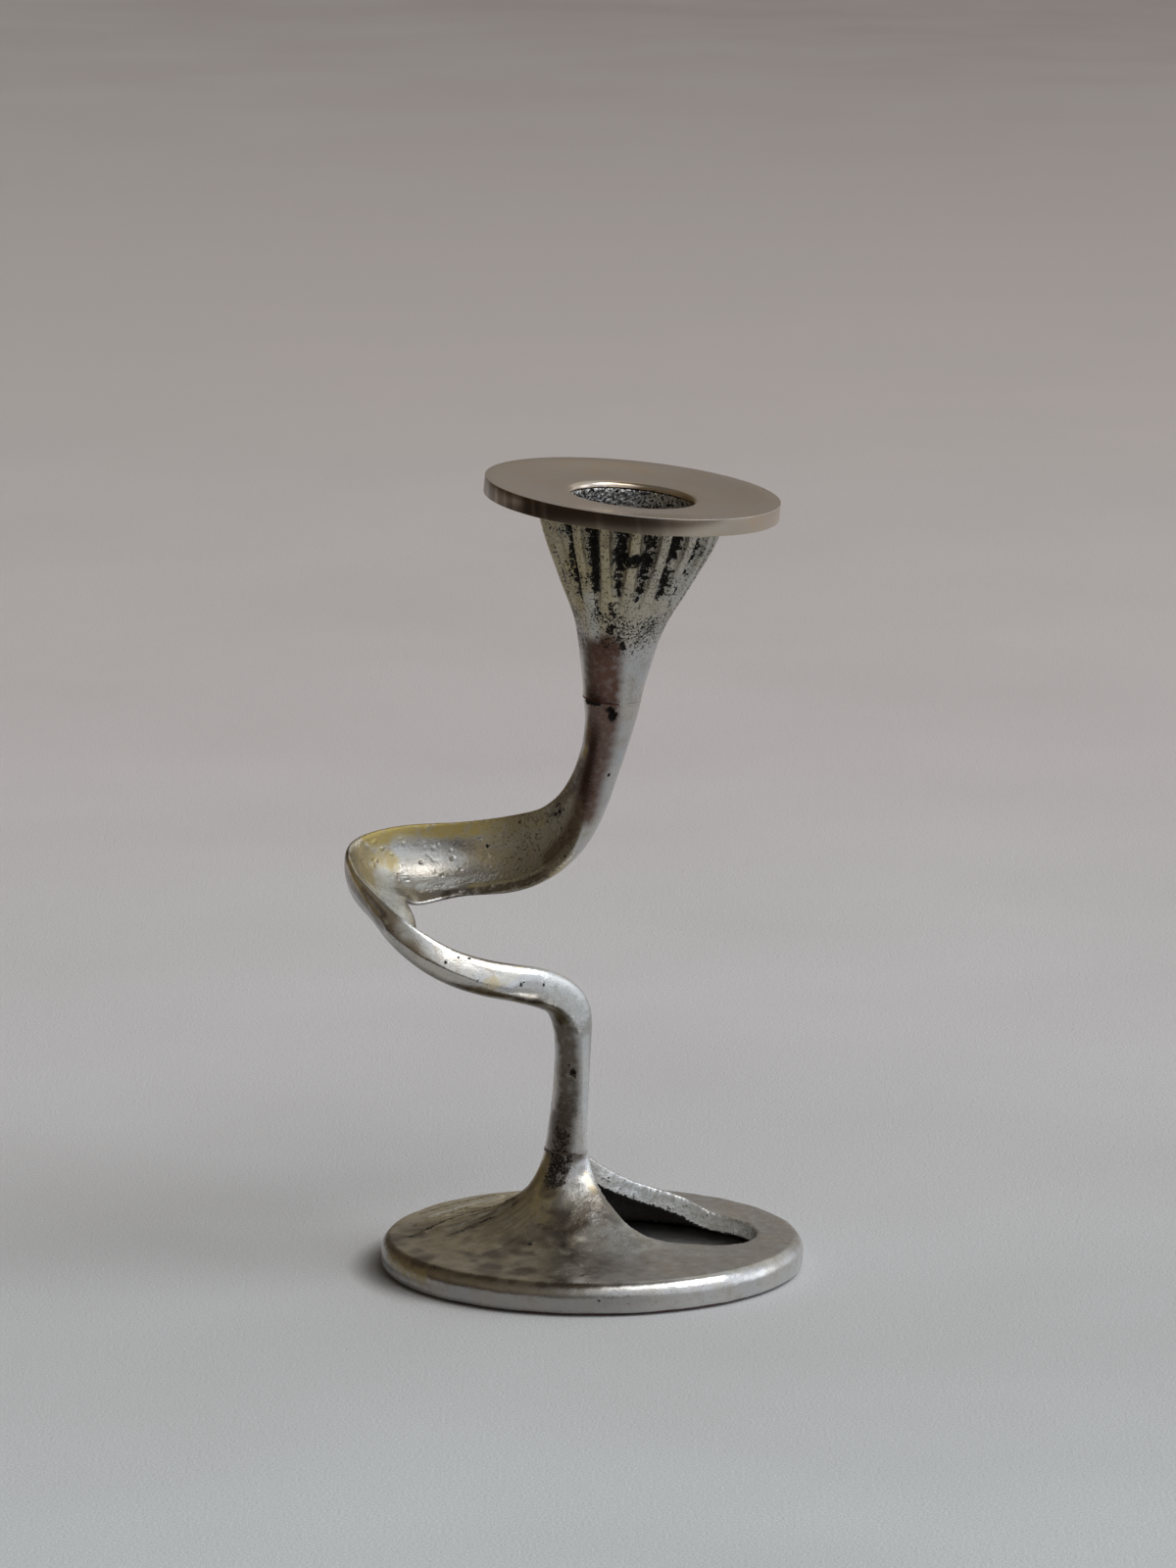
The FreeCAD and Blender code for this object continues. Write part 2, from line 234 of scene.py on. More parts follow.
class Skin:
    """The skin of a piece, in millimetres, while it is worked on."""

    def __init__(self, piece: Piece) -> None:
        """Reads the piece's points and normals."""
        self.piece = piece
        mesh = piece.data
        flat = np.empty(len(mesh.vertices) * 3)
        mesh.vertices.foreach_get("co", flat)
        self.points = flat.reshape(-1, 3) / MM
        mesh.vertex_normals.foreach_get("vector", flat)
        self.normals = flat.reshape(-1, 3).copy()
        self.offset = np.zeros(len(self.points))
        self.coats = {coat: np.zeros(len(self.points)) for coat in Coat}

    def near(self, spots: Sequence[Vector], reach: float) -> Values:
        """Returns 1 at the spots, falling softly to 0 at a distance from them."""
        gap = self.distance(spots)
        return 1.0 - ease(gap, 0.35 * reach, reach)

    def distance(self, spots: Sequence[Vector]) -> Values:
        """Returns how far each point is from the nearest of the spots."""
        gap = np.full(len(self.points), 1000.0)
        for spot in spots:
            gap = np.minimum(gap, np.linalg.norm(self.points - np.array(spot), axis=1))
        return gap

    def path(self, view: PhotoView, spots: Sequence[Spot], step: float) -> list[Vector]:
        """Returns the seen points at spots of the photograph, filled in between."""
        hits = [hit for hit in (view.hit(self.piece, spot) for spot in spots) if hit is not None]
        filled = list(hits)
        for start, end in zip(hits, hits[1:]):
            count = int((end - start).length / step)
            filled += [start.lerp(end, part / (count + 1)) for part in range(1, count + 1)]
        return filled

    def brush(self, view: PhotoView, strokes: Sequence[Stroke], breakup: Values) -> None:
        """Lays coats along strokes, broken up by noise.

        Args:
            view: The camera that the strokes' spots belong to.
            strokes: What is laid and where.
            breakup: Noise from -1 to 1 for each point, which frays the strokes' edges.
        """
        for stroke in strokes:
            share = self.near(self.path(view, stroke.spots, 0.5 * stroke.reach), stroke.reach)
            frayed = np.clip(share * (1.0 + stroke.fray * breakup), 0.0, 1.0) * stroke.strength
            self.coats[stroke.coat] = np.maximum(self.coats[stroke.coat], frayed)

    def press(self, view: PhotoView, pits: Sequence[Pit]) -> None:
        """Sinks pits and raises bubbles at spots of the photograph."""
        ragged = 1.0 + 0.35 * grain(self.points, 0.7, 31)
        for pit in pits:
            centre = view.hit(self.piece, pit.spot)
            if centre is None:
                continue
            gap = np.linalg.norm(self.points - np.array(centre), axis=1) * ragged / pit.radius
            bowl = np.clip(1.0 - gap * gap, 0.0, 1.0)
            lip = np.exp(-((gap - 1.15) / 0.25) ** 2) * 0.2
            self.offset += pit.depth * (lip - bowl)
            dark = np.clip(1.6 * bowl, 0.0, 1.0) * (pit.depth > 0.0)
            self.coats[Coat.SOOT] = np.maximum(self.coats[Coat.SOOT], dark)

    def fold(self, view: PhotoView, creases: Sequence[Crease]) -> None:
        """Raises sharp ridges and sinks grooves along spots of the photograph."""
        for crease in creases:
            gap = self.distance(self.path(view, crease.spots, 0.25)) / crease.reach
            self.offset += crease.height * np.clip(1.0 - gap, 0.0, 1.0) ** 1.5

    def finish(self) -> None:
        """Moves the points and stores the coats on the mesh."""
        mesh = self.piece.data
        moved = (self.points + self.normals * self.offset[:, None]) * MM
        mesh.vertices.foreach_set("co", moved.ravel())
        for coat, values in self.coats.items():
            layer = mesh.attributes.new(coat.value, "FLOAT", "POINT")
            layer.data.foreach_set("value", np.clip(values, 0.0, 1.0))
        mesh.update()


class NodeTree:
    """A node tree with short ways to add and join nodes."""

    def __init__(self, tree: bpy.types.NodeTree, place: str) -> None:
        """Keeps the tree and one kind of its coordinates."""
        self.tree = tree
        self.place = self.add("TexCoord").outputs[place]

    def add(self, kind: str, *sources: object, **settings: object) -> bpy.types.Node:
        """Adds a shader node and joins sources to its first inputs.

        Args:
            kind: The end of the node's type.
            sources: A socket or a value for each input, or None to leave it.
            settings: The node's own settings.

        Returns:
            The node.
        """
        node = self.tree.nodes.new("ShaderNode" + kind)
        for name, value in settings.items():
            setattr(node, name, value)
        for source, target in zip(sources, node.inputs):
            self.join(source, target)
        return node

    def join(self, source: object, target: Socket) -> None:
        """Links a socket to an input, or writes a plain value or a colour there."""
        if isinstance(source, Socket):
            self.tree.links.new(source, target)
        elif source is not None:
            target.default_value = (*source, 1.0) if isinstance(source, tuple) else source

    def math(self, kind: str, first: object, second: object, clamp: bool = True) -> Socket:
        """Returns the result of one sum, which stays between 0 and 1 if clamped."""
        return self.add("Math", first, second, operation=kind, use_clamp=clamp).outputs[0]

    def measure(self, kind: str, place: Socket, other: Optional[Vector] = None) -> Socket:
        """Returns a place's length, or its dot product with another vector."""
        return self.add("VectorMath", place, other, operation=kind).outputs["Value"]

    def spread(self, value: Socket, low: float, high: float, start: float = 0.0,
               end: float = 1.0, kind: str = "LINEAR") -> Socket:
        """Maps a value from low..high to start..end and returns it."""
        node = self.add("MapRange", value, low, high, start, end, interpolation_type=kind)
        return node.outputs["Result"]

    def mix(self, share: object, first: object, second: object) -> Socket:
        """Mixes two colours and returns the mix."""
        node = self.add("Mix", share, data_type="RGBA")
        colored = [socket for socket in node.inputs if socket.type == "RGBA"]
        self.join(first, colored[0])
        self.join(second, colored[1])
        return next(socket for socket in node.outputs if socket.type == "RGBA")


class Nodes(NodeTree):
    """A material's node tree, round one principled shader."""

    def __init__(self, name: str) -> None:
        """Starts the material."""
        self.material = bpy.data.materials.new(name)
        self.material.use_nodes = True
        super().__init__(self.material.node_tree, "Object")
        self.shader = self.tree.nodes["Principled BSDF"]

    def paint(self, **sources: object) -> None:
        """Sets inputs of the shader, named with _ for a space, to sockets or plain values."""
        for name, source in sources.items():
            self.join(source, self.shader.inputs[name.replace("_", " ")])

    def speckle(self, size: float, detail: float = 2.0, rough: float = 0.5,
                place: Optional[Socket] = None) -> Socket:
        """Adds noise with bumps of a size in millimetres and returns its value."""
        node = self.add("TexNoise", place or self.place, None, 1.0 / (size * MM), detail, rough)
        return node.outputs["Fac"]

    def coat(self, coat: Coat) -> Socket:
        """Returns the amount of a coat at each point."""
        return self.add("Attribute", attribute_name=coat.value).outputs["Fac"]

    def bump(self, height: Socket, depth: float, under: Optional[Socket] = None) -> Socket:
        """Adds a bump of a depth in millimetres over another and returns its normal."""
        node = self.add("Bump")
        for source, name in ((depth * MM, "Distance"), (height, "Height"), (under, "Normal")):
            self.join(source, node.inputs[name])
        return node.outputs["Normal"]

    def lay(self, color: Socket, layers: Sequence[tuple[Coat, Color]]) -> Socket:
        """Lays coats over a colour, one after another."""
        for coat, hue in layers:
            color = self.mix(self.coat(coat), color, hue)
        return color


@dataclass(frozen=True)
class CastMetal:
    """Hand-polished casting: grey metal, gilt edges, sooty hollows and frosted patches, with
    painted shade and painted highlights laid over it.
    """

    name: str = "cast_metal"
    bright: Color = (0.58, 0.545, 0.495)
    cool: Color = (0.54, 0.55, 0.56)
    olive: Color = (0.36, 0.315, 0.235)
    gilt: Color = (0.56, 0.43, 0.14)
    frost: Color = (0.40, 0.395, 0.375)
    rust: Color = (0.115, 0.052, 0.035)
    # Colour of painted shade, and of the metal's own darker patches
    tone: Color = (0.115, 0.092, 0.070)
    # Colour of soot, also laid as painted shade in the foot's hollow and fold valleys
    soot: Color = (0.024, 0.021, 0.018)
    # Colour of painted highlights, made matt by pale_matt
    pale: Color = (0.70, 0.73, 0.73)
    fleck: Color = (0.20, 0.175, 0.145)
    rough_ramp: Ramp = (0.3, 0.7, 0.13, 0.29)
    dull: float = 0.45
    worn: float = 0.2
    matt: float = 0.35
    pale_matt: float = 0.65
    grit: float = 0.12
    cloud_size: float = 9.0
    blotch_size: float = 3.2
    speckle_size: float = 0.42
    scratch_size: float = 0.22
    scratch_depth: float = 0.006
    grit_depth: float = 0.3
    cool_ramp: Ramp = (0.35, 0.65)
    olive_ramp: Ramp = (0.5, 0.72, 0.0, 0.6)
    fleck_ramp: Ramp = (0.56, 0.72, 0.0, 0.45)
    lack_ramp: Ramp = (0.32, 0.68, 0.92, 0.0)
    grain_ramp: Ramp = (-0.10, 0.12)

    def build(self) -> Material:
        """Returns the material."""
        nodes = Nodes(self.name)
        blotch = nodes.speckle(self.blotch_size, 4.0, 0.65)
        speckle = nodes.speckle(self.speckle_size, 3.0, 0.7)
        soot, frost = nodes.coat(Coat.SOOT), nodes.coat(Coat.FROST)
        patina = nodes.math("MAXIMUM", frost, nodes.coat(Coat.GILT))
        matt = nodes.math("MAXIMUM", nodes.math("MULTIPLY", patina, self.matt),
                          nodes.math("MULTIPLY", nodes.coat(Coat.PALE), self.pale_matt))
        polish = nodes.spread(blotch, *self.rough_ramp)
        worn = nodes.math("ADD", polish, nodes.math("MULTIPLY", patina, self.worn))
        gritty = nodes.math("ADD", nodes.math("ADD", soot, frost), self.grit)
        fine = nodes.bump(nodes.speckle(self.scratch_size, 2.0), self.scratch_depth)
        nodes.paint(
            Base_Color=self.layer_colors(nodes, blotch, speckle, soot),
            Metallic=nodes.math("SUBTRACT", 1.0, matt),
            Roughness=nodes.math("ADD", worn, nodes.math("MULTIPLY", soot, self.dull)),
            Normal=nodes.bump(nodes.math("MULTIPLY", speckle, gritty), self.grit_depth, fine))
        return nodes.material

    def layer_colors(self, nodes: Nodes, blotch: Socket, speckle: Socket,
                     soot: Socket) -> Socket:
        """Returns the bare metal's clouds with the coats laid over them.

        Args:
            nodes: The material's tree.
            blotch: Noise that carries the olive blotches.
            speckle: Noise that carries the flecks and thins the soot.
            soot: The amount of the soot coat: soot, and painted shade in the foot's hollow and fold
                valleys.
        """
        cloud = nodes.speckle(self.cloud_size, 3.0)
        color = nodes.mix(nodes.spread(cloud, *self.cool_ramp), self.bright, self.cool)
        color = nodes.mix(nodes.spread(blotch, *self.olive_ramp), color, self.olive)
        color = nodes.mix(nodes.spread(speckle, *self.fleck_ramp), color, self.fleck)
        color = nodes.lay(color, (
            (Coat.GILT, self.gilt), (Coat.FROST, self.frost), (Coat.PALE, self.pale),
            (Coat.RUST, self.rust), (Coat.TONE, self.tone)))
        lack = nodes.spread(speckle, *self.lack_ramp)
        grainy = nodes.math("SUBTRACT", soot, lack, clamp=False)
        return nodes.mix(nodes.spread(grainy, *self.grain_ramp), color, self.soot)


@dataclass(frozen=True)
class TurnedMetal:
    """Satin metal of the drip pan, with faint turning marks round its mouth."""

    name: str = "turned_metal"
    centre: Place = (7.3, 1.45, 143.8)
    brown: Color = (0.59, 0.475, 0.36)
    grey: Color = (0.57, 0.505, 0.435)
    mark: Color = (0.75, 0.72, 0.68)
    gilt: Color = (0.62, 0.46, 0.17)
    # Colour of painted shade on the rim's left
    tone: Color = (0.16, 0.125, 0.095)
    # Colour of painted highlight on the rim's upper edge
    pale: Color = (0.86, 0.87, 0.88)
    rough_ramp: Ramp = (0.3, 0.7, 0.16, 0.25)
    cloud_ramp: Ramp = (0.38, 0.62)
    fleck_ramp: Ramp = (0.66, 0.72)
    flecked_ramp: Ramp = (0.5, 0.7)
    ring_size: float = 0.5
    ring_depth: float = 0.0015
    cloud_size: float = 7.0
    fleck_depth: float = 0.005

    def build(self) -> Material:
        """Returns the material."""
        nodes = Nodes(self.name)
        mapping = nodes.add("Mapping", nodes.place, Vector(self.centre) * -MM,
                            vector_type="POINT")
        away = nodes.measure("LENGTH", mapping.outputs["Vector"])
        rings = nodes.speckle(self.ring_size, 2.0, 0.6, away)
        cloud = nodes.speckle(self.cloud_size, 4.0)
        fleck = nodes.speckle(self.ring_size, 2.0, 0.6)
        color = nodes.mix(nodes.spread(cloud, *self.cloud_ramp), self.brown, self.grey)
        flecks = nodes.math("MULTIPLY", nodes.spread(fleck, *self.fleck_ramp),
                            nodes.spread(cloud, *self.flecked_ramp))
        color = nodes.lay(nodes.mix(flecks, color, self.mark), (
            (Coat.GILT, self.gilt), (Coat.TONE, self.tone), (Coat.PALE, self.pale)))
        nodes.paint(Base_Color=color,
                    Metallic=nodes.math("SUBTRACT", 1.0, nodes.coat(Coat.PALE)),
                    Roughness=nodes.spread(rings, *self.rough_ramp),
                    Normal=nodes.bump(rings, self.ring_depth, nodes.bump(fleck, self.fleck_depth)))
        return nodes.material


@dataclass(frozen=True)
class PlainMetal:
    """Solder or pin steel: one metal, clouded and a little rough."""

    name: str
    light: Color
    dark: Color
    rough: Span

    def build(self) -> Material:
        """Returns the material."""
        nodes = Nodes(self.name)
        cloud = nodes.speckle(1.5, 3.0)
        # The tone coat brings the foot's painted shade over its solder
        color = nodes.lay(nodes.mix(cloud, self.light, self.dark), (
            (Coat.RUST, CastMetal.rust), (Coat.TONE, CastMetal.tone)))
        nodes.paint(Base_Color=color, Metallic=1.0,
                    Roughness=nodes.spread(cloud, 0.3, 0.7, *self.rough),
                    Normal=nodes.bump(nodes.speckle(0.3), 0.01))
        return nodes.material


@dataclass(frozen=True)
class Felt:
    """Dark red-brown pressed felt, painted paler inside the hollow of the foot as light falling in
    through the opening.
    """

    name: str = "felt"
    light: Color = (0.19, 0.085, 0.075)
    dark: Color = (0.07, 0.035, 0.031)
    hollow_light: Color = (0.85, 0.84, 0.78)
    hollow_light_ramp: Ramp = (0.032, 0.035, 0.8, 0.0)
    fibre_size: float = 0.35
    fibre_depth: float = 0.12

    def build(self) -> Material:
        """Returns the material."""
        nodes = Nodes(self.name)
        fibre = nodes.speckle(self.fibre_size, 5.0, 0.8)
        color = nodes.mix(nodes.spread(fibre, 0.3, 0.7), self.dark, self.light)
        # Paler in the middle, inside the hollow: painted light
        dusty = nodes.spread(nodes.measure("LENGTH", nodes.place), *self.hollow_light_ramp)
        nodes.paint(Base_Color=nodes.mix(dusty, color, self.hollow_light), Roughness=0.95,
                    Sheen_Weight=0.3, Normal=nodes.bump(fibre, self.fibre_depth))
        return nodes.material


def pick_only(piece: Piece) -> None:
    """Deselects everything and makes one piece active and selected."""
    bpy.ops.object.select_all(action="DESELECT")
    piece.select_set(True)
    bpy.context.view_layer.objects.active = piece


@contextmanager
def editing(piece: Piece) -> Iterator[None]:
    """Opens a piece's whole mesh to the edit tools."""
    pick_only(piece)
    bpy.ops.object.mode_set(mode="EDIT")
    bpy.ops.mesh.select_all(action="SELECT")
    yield
    bpy.ops.object.mode_set(mode="OBJECT")


def apply_modifier(piece: Piece, kind: str, **settings: object) -> None:
    """Adds a modifier with its settings and applies it."""
    modifier = piece.modifiers.new(kind.lower(), kind)
    for name, value in settings.items():
        setattr(modifier, name, value)
    pick_only(piece)
    bpy.ops.object.modifier_apply(modifier=modifier.name)


def soften_edges(piece: Piece, width: float, segments: int) -> None:
    """Rounds a turned piece's sharp edges by a width in millimetres."""
    apply_modifier(piece, "BEVEL", width=width * MM, segments=segments, limit_method="ANGLE",
                   angle_limit=math.radians(50.0))


def add_disc(name: str, radius: float, thickness: float, sides: int,
             fill: str) -> Piece:
    """Adds a disc that lies on the table, with sizes in millimetres."""
    bpy.ops.object.select_all(action="DESELECT")
    bpy.ops.mesh.primitive_cylinder_add(
        vertices=sides, radius=radius * MM, depth=thickness * MM,
        location=(0.0, 0.0, thickness / 2 * MM), end_fill_type=fill)
    piece = bpy.context.object
    piece.name = piece.data.name = name
    bpy.ops.object.transform_apply(location=True)
    return piece


def shade_smooth(piece: Piece, angle: float) -> None:
    """Shades a piece smooth except at edges sharper than an angle in degrees."""
    pick_only(piece)
    bpy.ops.object.shade_smooth_by_angle(angle=math.radians(angle))


def dress(piece: Piece, material: Material) -> None:
    """Gives a piece its one material."""
    piece.data.materials.clear()
    piece.data.materials.append(material)


@dataclass(frozen=True)
class EndFace:
    """A flat joint face of a casting: a point on it and the way it faces."""

    place: Place
    facing: Place


@dataclass
class Casting:
    """A casting: the CAD form remade as an even skin, softened at its edges, cut flat again
    at its joints, then textured and coated.
    """

    view: PhotoView
    material: Material
    node: str = ""
    name: str = ""
    voxel: float = 0.3
    smoothing: int = 3
    ends: tuple[EndFace, ...] = ()
    pits: tuple[Pit, ...] = ()
    strokes: tuple[Stroke, ...] = ()
    creases: tuple[Crease, ...] = ()
    end_reach: float = 1.0
    wave: float = 0.05
    waves: Pattern = Pattern(6.0, 3)
    ripples: Pattern = Pattern(2.2, 5)
    breakup: Pattern = Pattern(1.3, 11, octaves=3)

    def remesh(self) -> Piece:
        """Returns the evenly meshed copy of the node."""
        piece = add_object(self.name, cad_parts[self.node].data.copy())
        with editing(piece):
            bpy.ops.mesh.remove_doubles(threshold=1e-6)
        for end in self.ends:
            self.lengthen(piece, end)
        apply_modifier(piece, "REMESH", mode="VOXEL", voxel_size=self.voxel * MM)
        apply_modifier(piece, "SMOOTH", factor=0.5, iterations=self.smoothing)
        for end in self.ends:
            self.trim(piece, end)
        shade_smooth(piece, 50.0)
        return piece

    def lengthen(self, piece: Piece, end: EndFace) -> None:
        """Moves an end face out, so that the new skin can be cut there with a crisp edge."""
        facing = Vector(end.facing).normalized()
        place = Vector(end.place) * MM
        for vertex in piece.data.vertices:
            if abs((vertex.co - place).dot(facing)) < 1e-5:
                vertex.co += facing * (self.end_reach * MM)

    def trim(self, piece: Piece, end: EndFace) -> None:
        """Cuts the skin at an end face and closes it round the pin's hole."""
        with editing(piece):
            bpy.ops.mesh.bisect(plane_co=Vector(end.place) * MM, plane_no=end.facing,
                                clear_outer=True)
            bpy.ops.mesh.bridge_edge_loops()

    def end_distance(self, skin: Skin) -> Values:
        """Returns how far each point is from the nearest joint face."""
        gaps = [np.abs((skin.points - np.array(end.place)) @ unit(end.facing))
                for end in self.ends]
        return np.minimum.reduce(gaps)

    def texture(self, skin: Skin) -> None:
        """Adds the casting's own forms and coats. Castings with some override this."""

    def build(self) -> Piece:
        """Returns the finished piece, riding on the body and replacing its node."""
        piece = self.remesh()
        skin = Skin(piece)
        wave = self.waves.raw(skin.points) + 0.4 * self.ripples.raw(skin.points)
        skin.offset += self.wave * wave
        self.texture(skin)
        skin.press(self.view, self.pits)
        skin.fold(self.view, self.creases)
        skin.brush(self.view, self.strokes, self.breakup.raw(skin.points))
        skin.offset *= ease(self.end_distance(skin), 0.0, 1.2)
        skin.finish()
        dress(piece, self.material)
        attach(piece, BODY)
        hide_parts(self.node)
        log.info("%s: %d faces", self.name, len(piece.data.polygons))
        return piece


@dataclass
class Stem(Casting):
    """The spiral stem: smooth strut and neck, and a bubbly trough round the loop."""

    node: str = "spiral_stem"
    name: str = "spiral_trough_stem"
    voxel: float = 0.26
    shaded_side: Place = (-0.38, -0.12, -0.92)
    loop_middle: Place = (-22.0, 0.0, 76.0)
    trough_rise: Span = (66.0, 70.0)
    trough_fall: Span = (84.0, 90.0)
    rough_end: Span = (-24.0, -12.0)
    patches: Pattern = Pattern(4.0, 7, (-0.1, 0.3))
    bubbles: Pattern = Pattern(0.8, 9, (0.2, 0.55))
    pocks: Pattern = Pattern(0.6, 13, (0.2, 0.5))
    bubble_height: float = 0.10
    pock_depth: float = 0.13
    # Each coat's share everywhere in the trough, at its rough end and in that end's pocks
    trough_coats: tuple[tuple[Coat, float, float, float], ...] = (
        (Coat.SOOT, 0.0, 0.17, 0.12), (Coat.FROST, 0.08, 0.4, 0.0),
        (Coat.GILT, 0.06, 0.35, 0.0), (Coat.TONE, 0.0, 0.34, 0.2))
    ends: tuple[EndFace, ...] = (EndFace((-4.8, 0.6, 22.3), (0.0, 0.0, -1.0)),
                                 EndFace((3.6, 3.0, 106.1), LEAN))
    trough_lip: tuple[Spot, ...] = ((480, 904), (515, 899), (540, 892), (560, 880), (577, 862))
    pits: tuple[Pit, ...] = (
        Pit((625, 731), 1.15, 0.5), Pit((623, 725), 0.8, 0.4), Pit((604, 717), 0.5, 0.35),
        Pit((621, 791), 0.4, 0.25), Pit((571, 828), 0.5, 0.25), Pit((567, 831), 0.3, 0.2),
        Pit((571, 877), 0.5, -0.2), Pit((576, 874), 0.3, 0.2), Pit((585, 1094), 0.7, 0.2),
        Pit((587, 1098), 0.45, -0.2), Pit((581, 1088), 0.4, -0.15), Pit((532, 1005), 0.4, 0.25),
        Pit((535, 1002), 0.25, 0.2), Pit((555, 1005), 0.3, 0.2), Pit((430, 880), 0.5, -0.22),
        Pit((412, 861), 0.5, -0.2), Pit((408, 856), 0.35, -0.18), Pit((462, 876), 0.5, -0.25),
        Pit((470, 887), 0.35, -0.2), Pit((460, 868), 0.35, -0.2), Pit((384, 878), 0.45, -0.18),
        Pit((390, 866), 0.4, -0.18), Pit((400, 872), 0.3, -0.15), Pit((447, 862), 0.3, -0.15),
        Pit((498, 873), 0.4, -0.15), Pit((455, 982), 0.3, 0.15), Pit((468, 977), 0.25, 0.15),
        Pit((479, 978), 0.25, 0.15), Pit((487, 1000), 0.25, 0.12), Pit((540, 985), 0.3, 0.12),
        Pit((498, 863), 0.35, 0.15),
    )
    strokes: tuple[Stroke, ...] = (
        *brushed(Coat.GILT, (
            (((380, 852), (400, 846), (440, 842), (480, 841), (520, 838), (550, 833)), 3.8, 1.0,
              0.6),
            (((358, 880), (364, 902), (374, 920), (386, 934)), 1.1, 0.7),
            (((370, 872), (380, 895), (392, 880)), 4.2, 0.75),
            (((505, 862), (550, 850), (560, 875), (530, 885)), 6.5, 0.6),
            (trough_lip, 1.1, 0.8),
            (((498, 1003), (515, 1000), (530, 990)), 1.4, 0.5),
            (((601, 700), (601, 740), (597, 770)), 1.0, 0.7),
        )),
        # Painted shade: the loop's left turn and outer edge, under the trough's lip and front band,
        # and down the strut's front
        *brushed(Coat.TONE, (
            (((368, 868), (376, 886), (384, 900)), 3.0, 0.3),
            (((455, 913), (475, 910), (500, 907), (530, 902), (555, 892)), 1.5, 0.9),
            (((380, 950), (410, 978), (440, 996), (470, 1008), (505, 1016), (530, 1021)), 1.5,
              0.7),
            (((545, 1024), (560, 1033), (568, 1044), (574, 1062)), 2.4, 0.95, 0.4),
            (((576, 1056), (578, 1068), (579, 1090), (579, 1115), (576, 1140), (574, 1160),
              (573, 1171)), 3.1, 0.95, 0.3),
            (((353, 872), (352, 888), (357, 900), (366, 913), (378, 929), (390, 944)), 1.7, 0.75,
              0.5),
            (((560, 835), (575, 815), (585, 800), (592, 780)), 1.6, 0.6),
            (((567, 1142), (565, 1156), (563, 1171)), 2.6, 0.8, 0.3),
        )),
        *brushed(Coat.RUST, (
            (((618, 720), (616, 742), (611, 768), (603, 792), (594, 828)), 3.9, 0.88, 0.2),
            (((607, 719), (607, 735), (604, 755)), 2.8, 0.85, 0.2),
            (((594, 826), (583, 847), (572, 862), (560, 875)), 2.6, 0.7, 0.4),
        )),
        *brushed(Coat.SOOT, (
            (((572, 824), (567, 832)), 1.5, 0.45),
            (((599, 716), (605, 717), (611, 718)), 0.75, 1.0, 0.2),
            (((572, 1158), (571, 1171)), 2.8, 0.5, 0.6),
        )),
        # Painted highlights inside the trough, on the front band and knee, and along the strut's
        # right edge
        *brushed(Coat.PALE, (
            (((392, 895), (398, 915), (406, 932), (418, 948)), 3.2, 0.7, 0.5),
            (((408, 862), (430, 864), (452, 868), (466, 876)), 2.7, 0.45, 0.5),
            (((415, 899), (440, 902), (460, 900)), 2.2, 0.6, 0.5),
            (((515, 994), (540, 1001), (562, 1006)), 2.4, 0.6, 0.6),
            (((563, 1004), (580, 1014), (592, 1034)), 3.4, 0.75, 0.5),
            (((598, 1060), (598, 1100), (598, 1150), (598, 1172)), 1.3, 0.5, 0.4),
        )),
        *brushed(Coat.FROST, (
            (((560, 1010), (580, 1020), (594, 1040)), 3.2, 0.5),
            (((430, 905), (470, 898), (500, 894)), 1.8, 0.6),
        )),
    )
    creases: tuple[Crease, ...] = (
        Crease(((556, 1022), (572, 1028), (586, 1040), (592, 1055), (591, 1080), (590, 1110),
                (589, 1140)), 1.5, 0.3),
        Crease(trough_lip, 0.9, 0.2),
        Crease(((470, 911), (500, 908), (530, 904), (550, 897)), 0.8, -0.2),
        Crease(((358, 880), (366, 905), (376, 922), (394, 943)), 0.9, 0.2),
        Crease(((396, 948), (412, 963), (430, 976), (460, 991), (490, 1003), (520, 1012)),
               2.6, 0.6),
    )

    def texture(self, skin: Skin) -> None:
        """Bubbles inside the trough, which faces up and towards the loop's middle."""
        points, normals = skin.points, skin.normals
        inward = np.array(self.loop_middle) - points
        inward /= np.linalg.norm(inward, axis=1)[:, None]
        facing = (inward * normals).sum(axis=1) + 0.6 * normals[:, 2]
        inside = ease(facing, 0.35, 0.75)
        inside = inside * band(points[:, 2], self.trough_rise, self.trough_fall)
        patchy, pocks = self.patches.over(points), self.pocks.over(points)
        rough_end = ease(points[:, 0], *self.rough_end)
        skin.offset += self.bubble_height * self.bubbles.over(points) * inside * patchy
        skin.offset -= self.pock_depth * pocks * inside * np.maximum(rough_end, 0.35 * patchy)
        for coat, everywhere, at_end, in_pocks in self.trough_coats:
            amount = everywhere + rough_end * (at_end + in_pocks * pocks)
            skin.coats[coat] += inside * amount
        # Painted shade on the sides that face down and away from the lamps
        shaded = normals @ unit(self.shaded_side)
        skin.coats[Coat.TONE] += 0.65 * ease(shaded, 0.5, 0.9)


